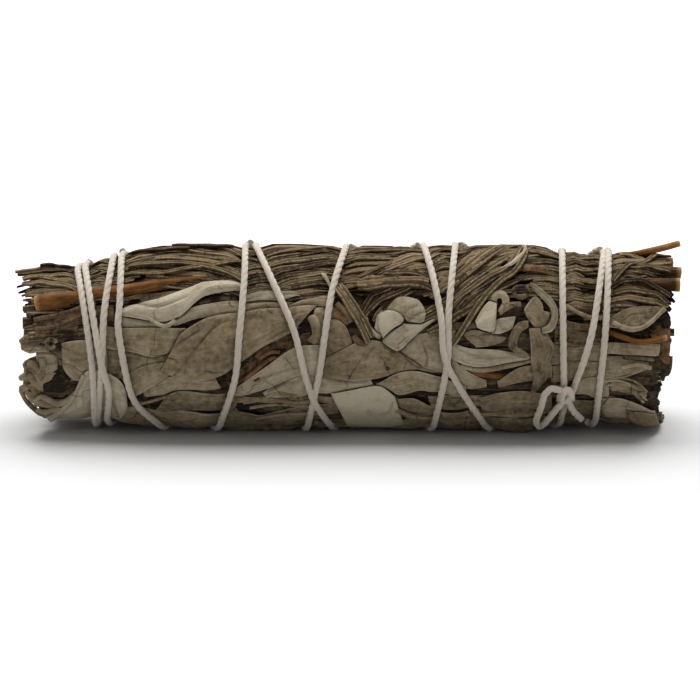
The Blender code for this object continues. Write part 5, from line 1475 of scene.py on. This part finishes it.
string_paths = turn_lines() + [free_line(LOOP, 60), free_line(TAIL, 24), free_line(WRAP, 50)]
lengths = [np.linalg.norm(np.diff(path, axis=0), axis=1).sum() for path in string_paths]
print("string is about", round(sum(lengths), 2), "m long")


# %% Twist three plies round every path
def twist_tree():
    """Three plies wound round every line, each a slim tube."""
    tree, given = geometry_tree("twisted string", [
        ("Ply radius", 'Float', 0.0003), ("Offset", 'Float', 0.00028), ("Pitch", 'Float', 0.0026),
        ("Step", 'Float', 0.0003), ("Sides", 'Int', 6)])
    even = node(tree, "GeometryNodeResampleCurve", {"Curve": given["Geometry"], "Length": given["Step"]},
                mode='LENGTH').outputs[0]
    plies = node(tree, "GeometryNodeDuplicateElements", {"Amount": 3, 0: even}, domain='SPLINE')
    run = number(tree, "GeometryNodeSplineParameter", None, "Length")
    third = Number(tree, plies.outputs["Duplicate Index"]) / 3.0
    phase = (run / given["Pitch"] + third) * math.tau
    normal = node(tree, "GeometryNodeInputNormal").outputs[0]
    tangent = node(tree, "GeometryNodeInputTangent").outputs[0]
    away = vector(tree, 'SCALE', normal, scale=phase.maths('COSINE', phase))
    beside = vector(tree, 'SCALE', vector(tree, 'CROSS_PRODUCT', tangent, normal), scale=phase.sine())
    shift = vector(tree, 'SCALE', vector(tree, 'ADD', away, beside), scale=given["Offset"])
    wound = node(tree, "GeometryNodeSetPosition", {0: plies.outputs[0], "Offset": shift}).outputs[0]
    circle = node(tree, "GeometryNodeCurvePrimitiveCircle", {
        "Resolution": given["Sides"], "Radius": given["Ply radius"]}).outputs[0]
    swept = node(tree, "GeometryNodeCurveToMesh", {
        "Curve": wound, "Profile Curve": circle, "Fill Caps": True})
    return end_tree(tree, given, node(tree, "GeometryNodeSetShadeSmooth", {0: swept.outputs[0]}).outputs[0])


def cotton_material():
    """Soft off-white cotton with fine fibres all over it."""
    material, tree, skin = new_material("cotton", {"Sheen Weight": 0.5, "Specular IOR Level": 0.15})
    fibre = blotched(tree, 0.16, 3.0)
    base = colour_mix(tree, blotched(tree, 2.4, 1.6), (0.41, 0.34, 0.255, 1), (0.52, 0.455, 0.37, 1))
    soft = colour_mix(tree, fibre * 0.45, base, (0.66, 0.59, 0.50, 1))
    finish_skin(tree, skin, soft, 0.95, fibre, 0.45, 0.08 * MM)
    return material


cotton = cotton_material()
PLIES = {"Ply radius": 0.00038, "Offset": 0.00016, "Pitch": 0.0044, "Step": 0.00035, "Sides": 8}
yarn_lines = [(path, np.ones(len(path))) for path in string_paths]
cotton_string = grow(line_object("string path", yarn_lines), twist_tree(), {**PLIES, "Material": cotton},
                     "cotton_string")

# %% [markdown]
# ### Fuzz
# Cotton string has loose fibres that catch the light at its edges. Each is a bent sliver with a dozen
# faces, scattered over the string by a third tree with a fixed seed. None pokes through the floor.


# %% Scatter the fibres
def fibre_shape(rows=5, sides=3):
    """One thin bent fibre, half a millimetre high, standing on its root."""
    rise = np.linspace(0, 1, rows)
    spine = np.column_stack([0.55 * rise ** 2, 0.15 * np.sin(3 * rise), 0.55 * rise])
    width = 0.016 * (1 - 0.7 * rise)
    turn = np.arange(sides) * math.tau / sides
    corners = [centre + wide * np.array([math.cos(t), math.sin(t), 0]) for centre, wide in zip(spine, width)
               for t in turn]
    faces = [(2, 1, 0), (12, 13, 14)]
    for row in range(rows - 1):
        for k in range(sides):
            a, b = row * sides + k, row * sides + (k + 1) % sides
            faces.append((a, b, b + sides, a + sides))
    mesh = bpy.data.meshes.new("fibre")
    mesh.from_pydata((np.array(corners) * MM).tolist(), [], faces)
    return add_object("fibre", mesh)


def fuzz_tree():
    """Fibres on random spots of the string, leaning out any way, as real geometry."""
    tree, given = geometry_tree("string fuzz", [
        ("Fibre", 'Object', None), ("Density", 'Float', 1.0e6), ("Seed", 'Int', 6)])
    seed = given["Seed"]
    spots = node(tree, "GeometryNodeDistributePointsOnFaces", {
        "Mesh": given["Geometry"], "Density": given["Density"], "Seed": seed})
    fibre = node(tree, "GeometryNodeObjectInfo", {"Object": given["Fibre"]}).outputs["Geometry"]
    spin = node(tree, "FunctionNodeRandomValue", {
        "Min": (-0.7, -0.7, -3.14), "Max": (0.7, 0.7, 3.14), "Seed": seed}, data_type='FLOAT_VECTOR')
    turned = node(tree, "FunctionNodeRotateRotation", {0: spots.outputs["Rotation"], 1: spin.outputs[0]},
                  rotation_space='LOCAL').outputs[0]
    size = number(tree, "FunctionNodeRandomValue", {"Min": 0.35, "Max": 1.25, "Seed": seed}, "Value",
                  data_type='FLOAT')
    put = node(tree, "GeometryNodeInstanceOnPoints", {
        "Points": spots.outputs["Points"], "Instance": fibre, "Rotation": turned, "Scale": size})
    return end_tree(tree, given, put.outputs[0])


def heights(piece):
    """The corners of a piece as one flat row of numbers, in which every third is a height."""
    corners = np.empty(3 * len(piece.data.vertices), np.float32)
    piece.data.vertices.foreach_get("co", corners)
    return corners


fibre = fibre_shape()
carrier = add_object("fuzz carrier", cotton_string.data.copy())
cotton_fuzz = grow(carrier, fuzz_tree(), {"Fibre": fibre, "Density": 7.0e5, "Seed": 6, "Material": cotton},
                   "cotton_fuzz")
bpy.data.objects.remove(fibre)
corners = heights(cotton_fuzz)
corners[2::3] = np.maximum(corners[2::3], 0.01 * MM)
cotton_fuzz.data.vertices.foreach_set("co", corners)

# %% [markdown]
# ## Join the pieces to the frame
# Nothing moves on this object, so every piece rides on the one body. Each piece that stands for a
# solid of the frame hides that solid, and the other pieces are listed with the solid they add to.

# %% Ride and replace
STANDS_FOR = {sage_leaves_front: "sage_sprig_front", sage_leaves_low: "sage_sprig_low",
              needle_leaves_top: "needle_sprig_top", needle_leaves_back: "needle_sprig_back",
              cotton_string: "string", **{stem: name for name, stem in stems.items()}}
ADDS_TO = {sage_leaves_under: "sage_sprig_front", packed_leaves: "sage_sprig_front",
           end_leaves: "sage_sprig_front", cotton_fuzz: "string"}
for piece, node_name in STANDS_FOR.items():
    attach(piece, "root")
    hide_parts(node_name)
for piece, slot in ADDS_TO.items():
    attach(piece, "root")
for piece in (*STANDS_FOR, *ADDS_TO):
    print(piece.name, "reaches down to", round(1000 * float(heights(piece)[2::3].min()), 2), "mm")

# %% [markdown]
# ## Floor, light and camera
# The photograph is a product shot on white: a broad soft light from above, a bright floor and a soft
# dark shadow close under the bunch. So the floor is grey near the bunch, where it shows the shadow, and
# further out it glows white, painted light that no lamp gives. The camera looks from a little above,
# from 45 cm away.

# %% The floor
floor_mesh = bpy.data.meshes.new("floor")
floor_mesh.from_pydata([(-3, -3, 0), (3, -3, 0), (3, 3, 0), (-3, 3, 0)], [], [(0, 1, 2, 3)])
floor = add_object("floor", floor_mesh)
pale_floor, paper, sheet = new_material("pale floor", {
    "Base Color": (0.57, 0.57, 0.57, 1), "Roughness": 0.9, "Emission Strength": 1.0})
middle_out = node(paper, "ShaderNodeVectorMath", {0: node(paper, "ShaderNodeTexCoord").outputs["Object"]},
                  operation='LENGTH').outputs["Value"]
# Painted light: the floor glows more the further it is from the bunch
painted_glow = node(paper, "ShaderNodeMapRange", {
    "Value": middle_out, "From Min": 0.07, "From Max": 0.35, "To Max": 0.75})
fill(paper, sheet.inputs["Emission Color"], painted_glow.outputs[0])
floor_mesh.materials.append(pale_floor)

# %% The lights
world = bpy.data.worlds.new("studio")
bpy.context.scene.world = world
world.use_nodes = True
world.node_tree.nodes["Background"].inputs["Color"].default_value = (1, 1, 1, 1)
world.node_tree.nodes["Background"].inputs["Strength"].default_value = 0.40


def soft_light(name, place_at, aim, size, power):
    """A square area light at a place, turned to face a point."""
    lamp = bpy.data.lights.new(name, 'AREA')
    lamp.shape = 'SQUARE'
    lamp.size = size
    lamp.energy = power
    thing = add_object(name, lamp)
    thing.location = place_at
    thing.rotation_euler = (Vector(aim) - Vector(place_at)).to_track_quat('-Z', 'Y').to_euler()


soft_light("overhead", (0.0, 0.36, 0.85), (0, 0, 0.02), 1.1, 19.6)

# %% The camera
HALF_SENSOR = 18
HALF_VIEW = 55.06
VIEW_CENTRE = (0.24, -2.04)
lens = bpy.data.cameras.new("camera")
lens.sensor_width = 2 * HALF_SENSOR
lens.lens = HALF_SENSOR / (HALF_VIEW / VIEW_DISTANCE)
lens.clip_start = 0.01
camera = add_object("camera", lens)
upward = Vector((0, math.sin(VIEW_TILT), math.cos(VIEW_TILT)))
ahead = Vector((0, math.cos(VIEW_TILT), -math.sin(VIEW_TILT)))
middle = Vector((VIEW_CENTRE[0], 0, AXIS_HEIGHT)) + upward * VIEW_CENTRE[1]
camera.location = (middle - ahead * VIEW_DISTANCE) * MM
camera.rotation_euler = (math.radians(90) - VIEW_TILT, 0, 0)
bpy.context.scene.camera = camera
bpy.context.scene.view_settings.view_transform = "Standard"
print("lens:", round(lens.lens, 1), "mm")
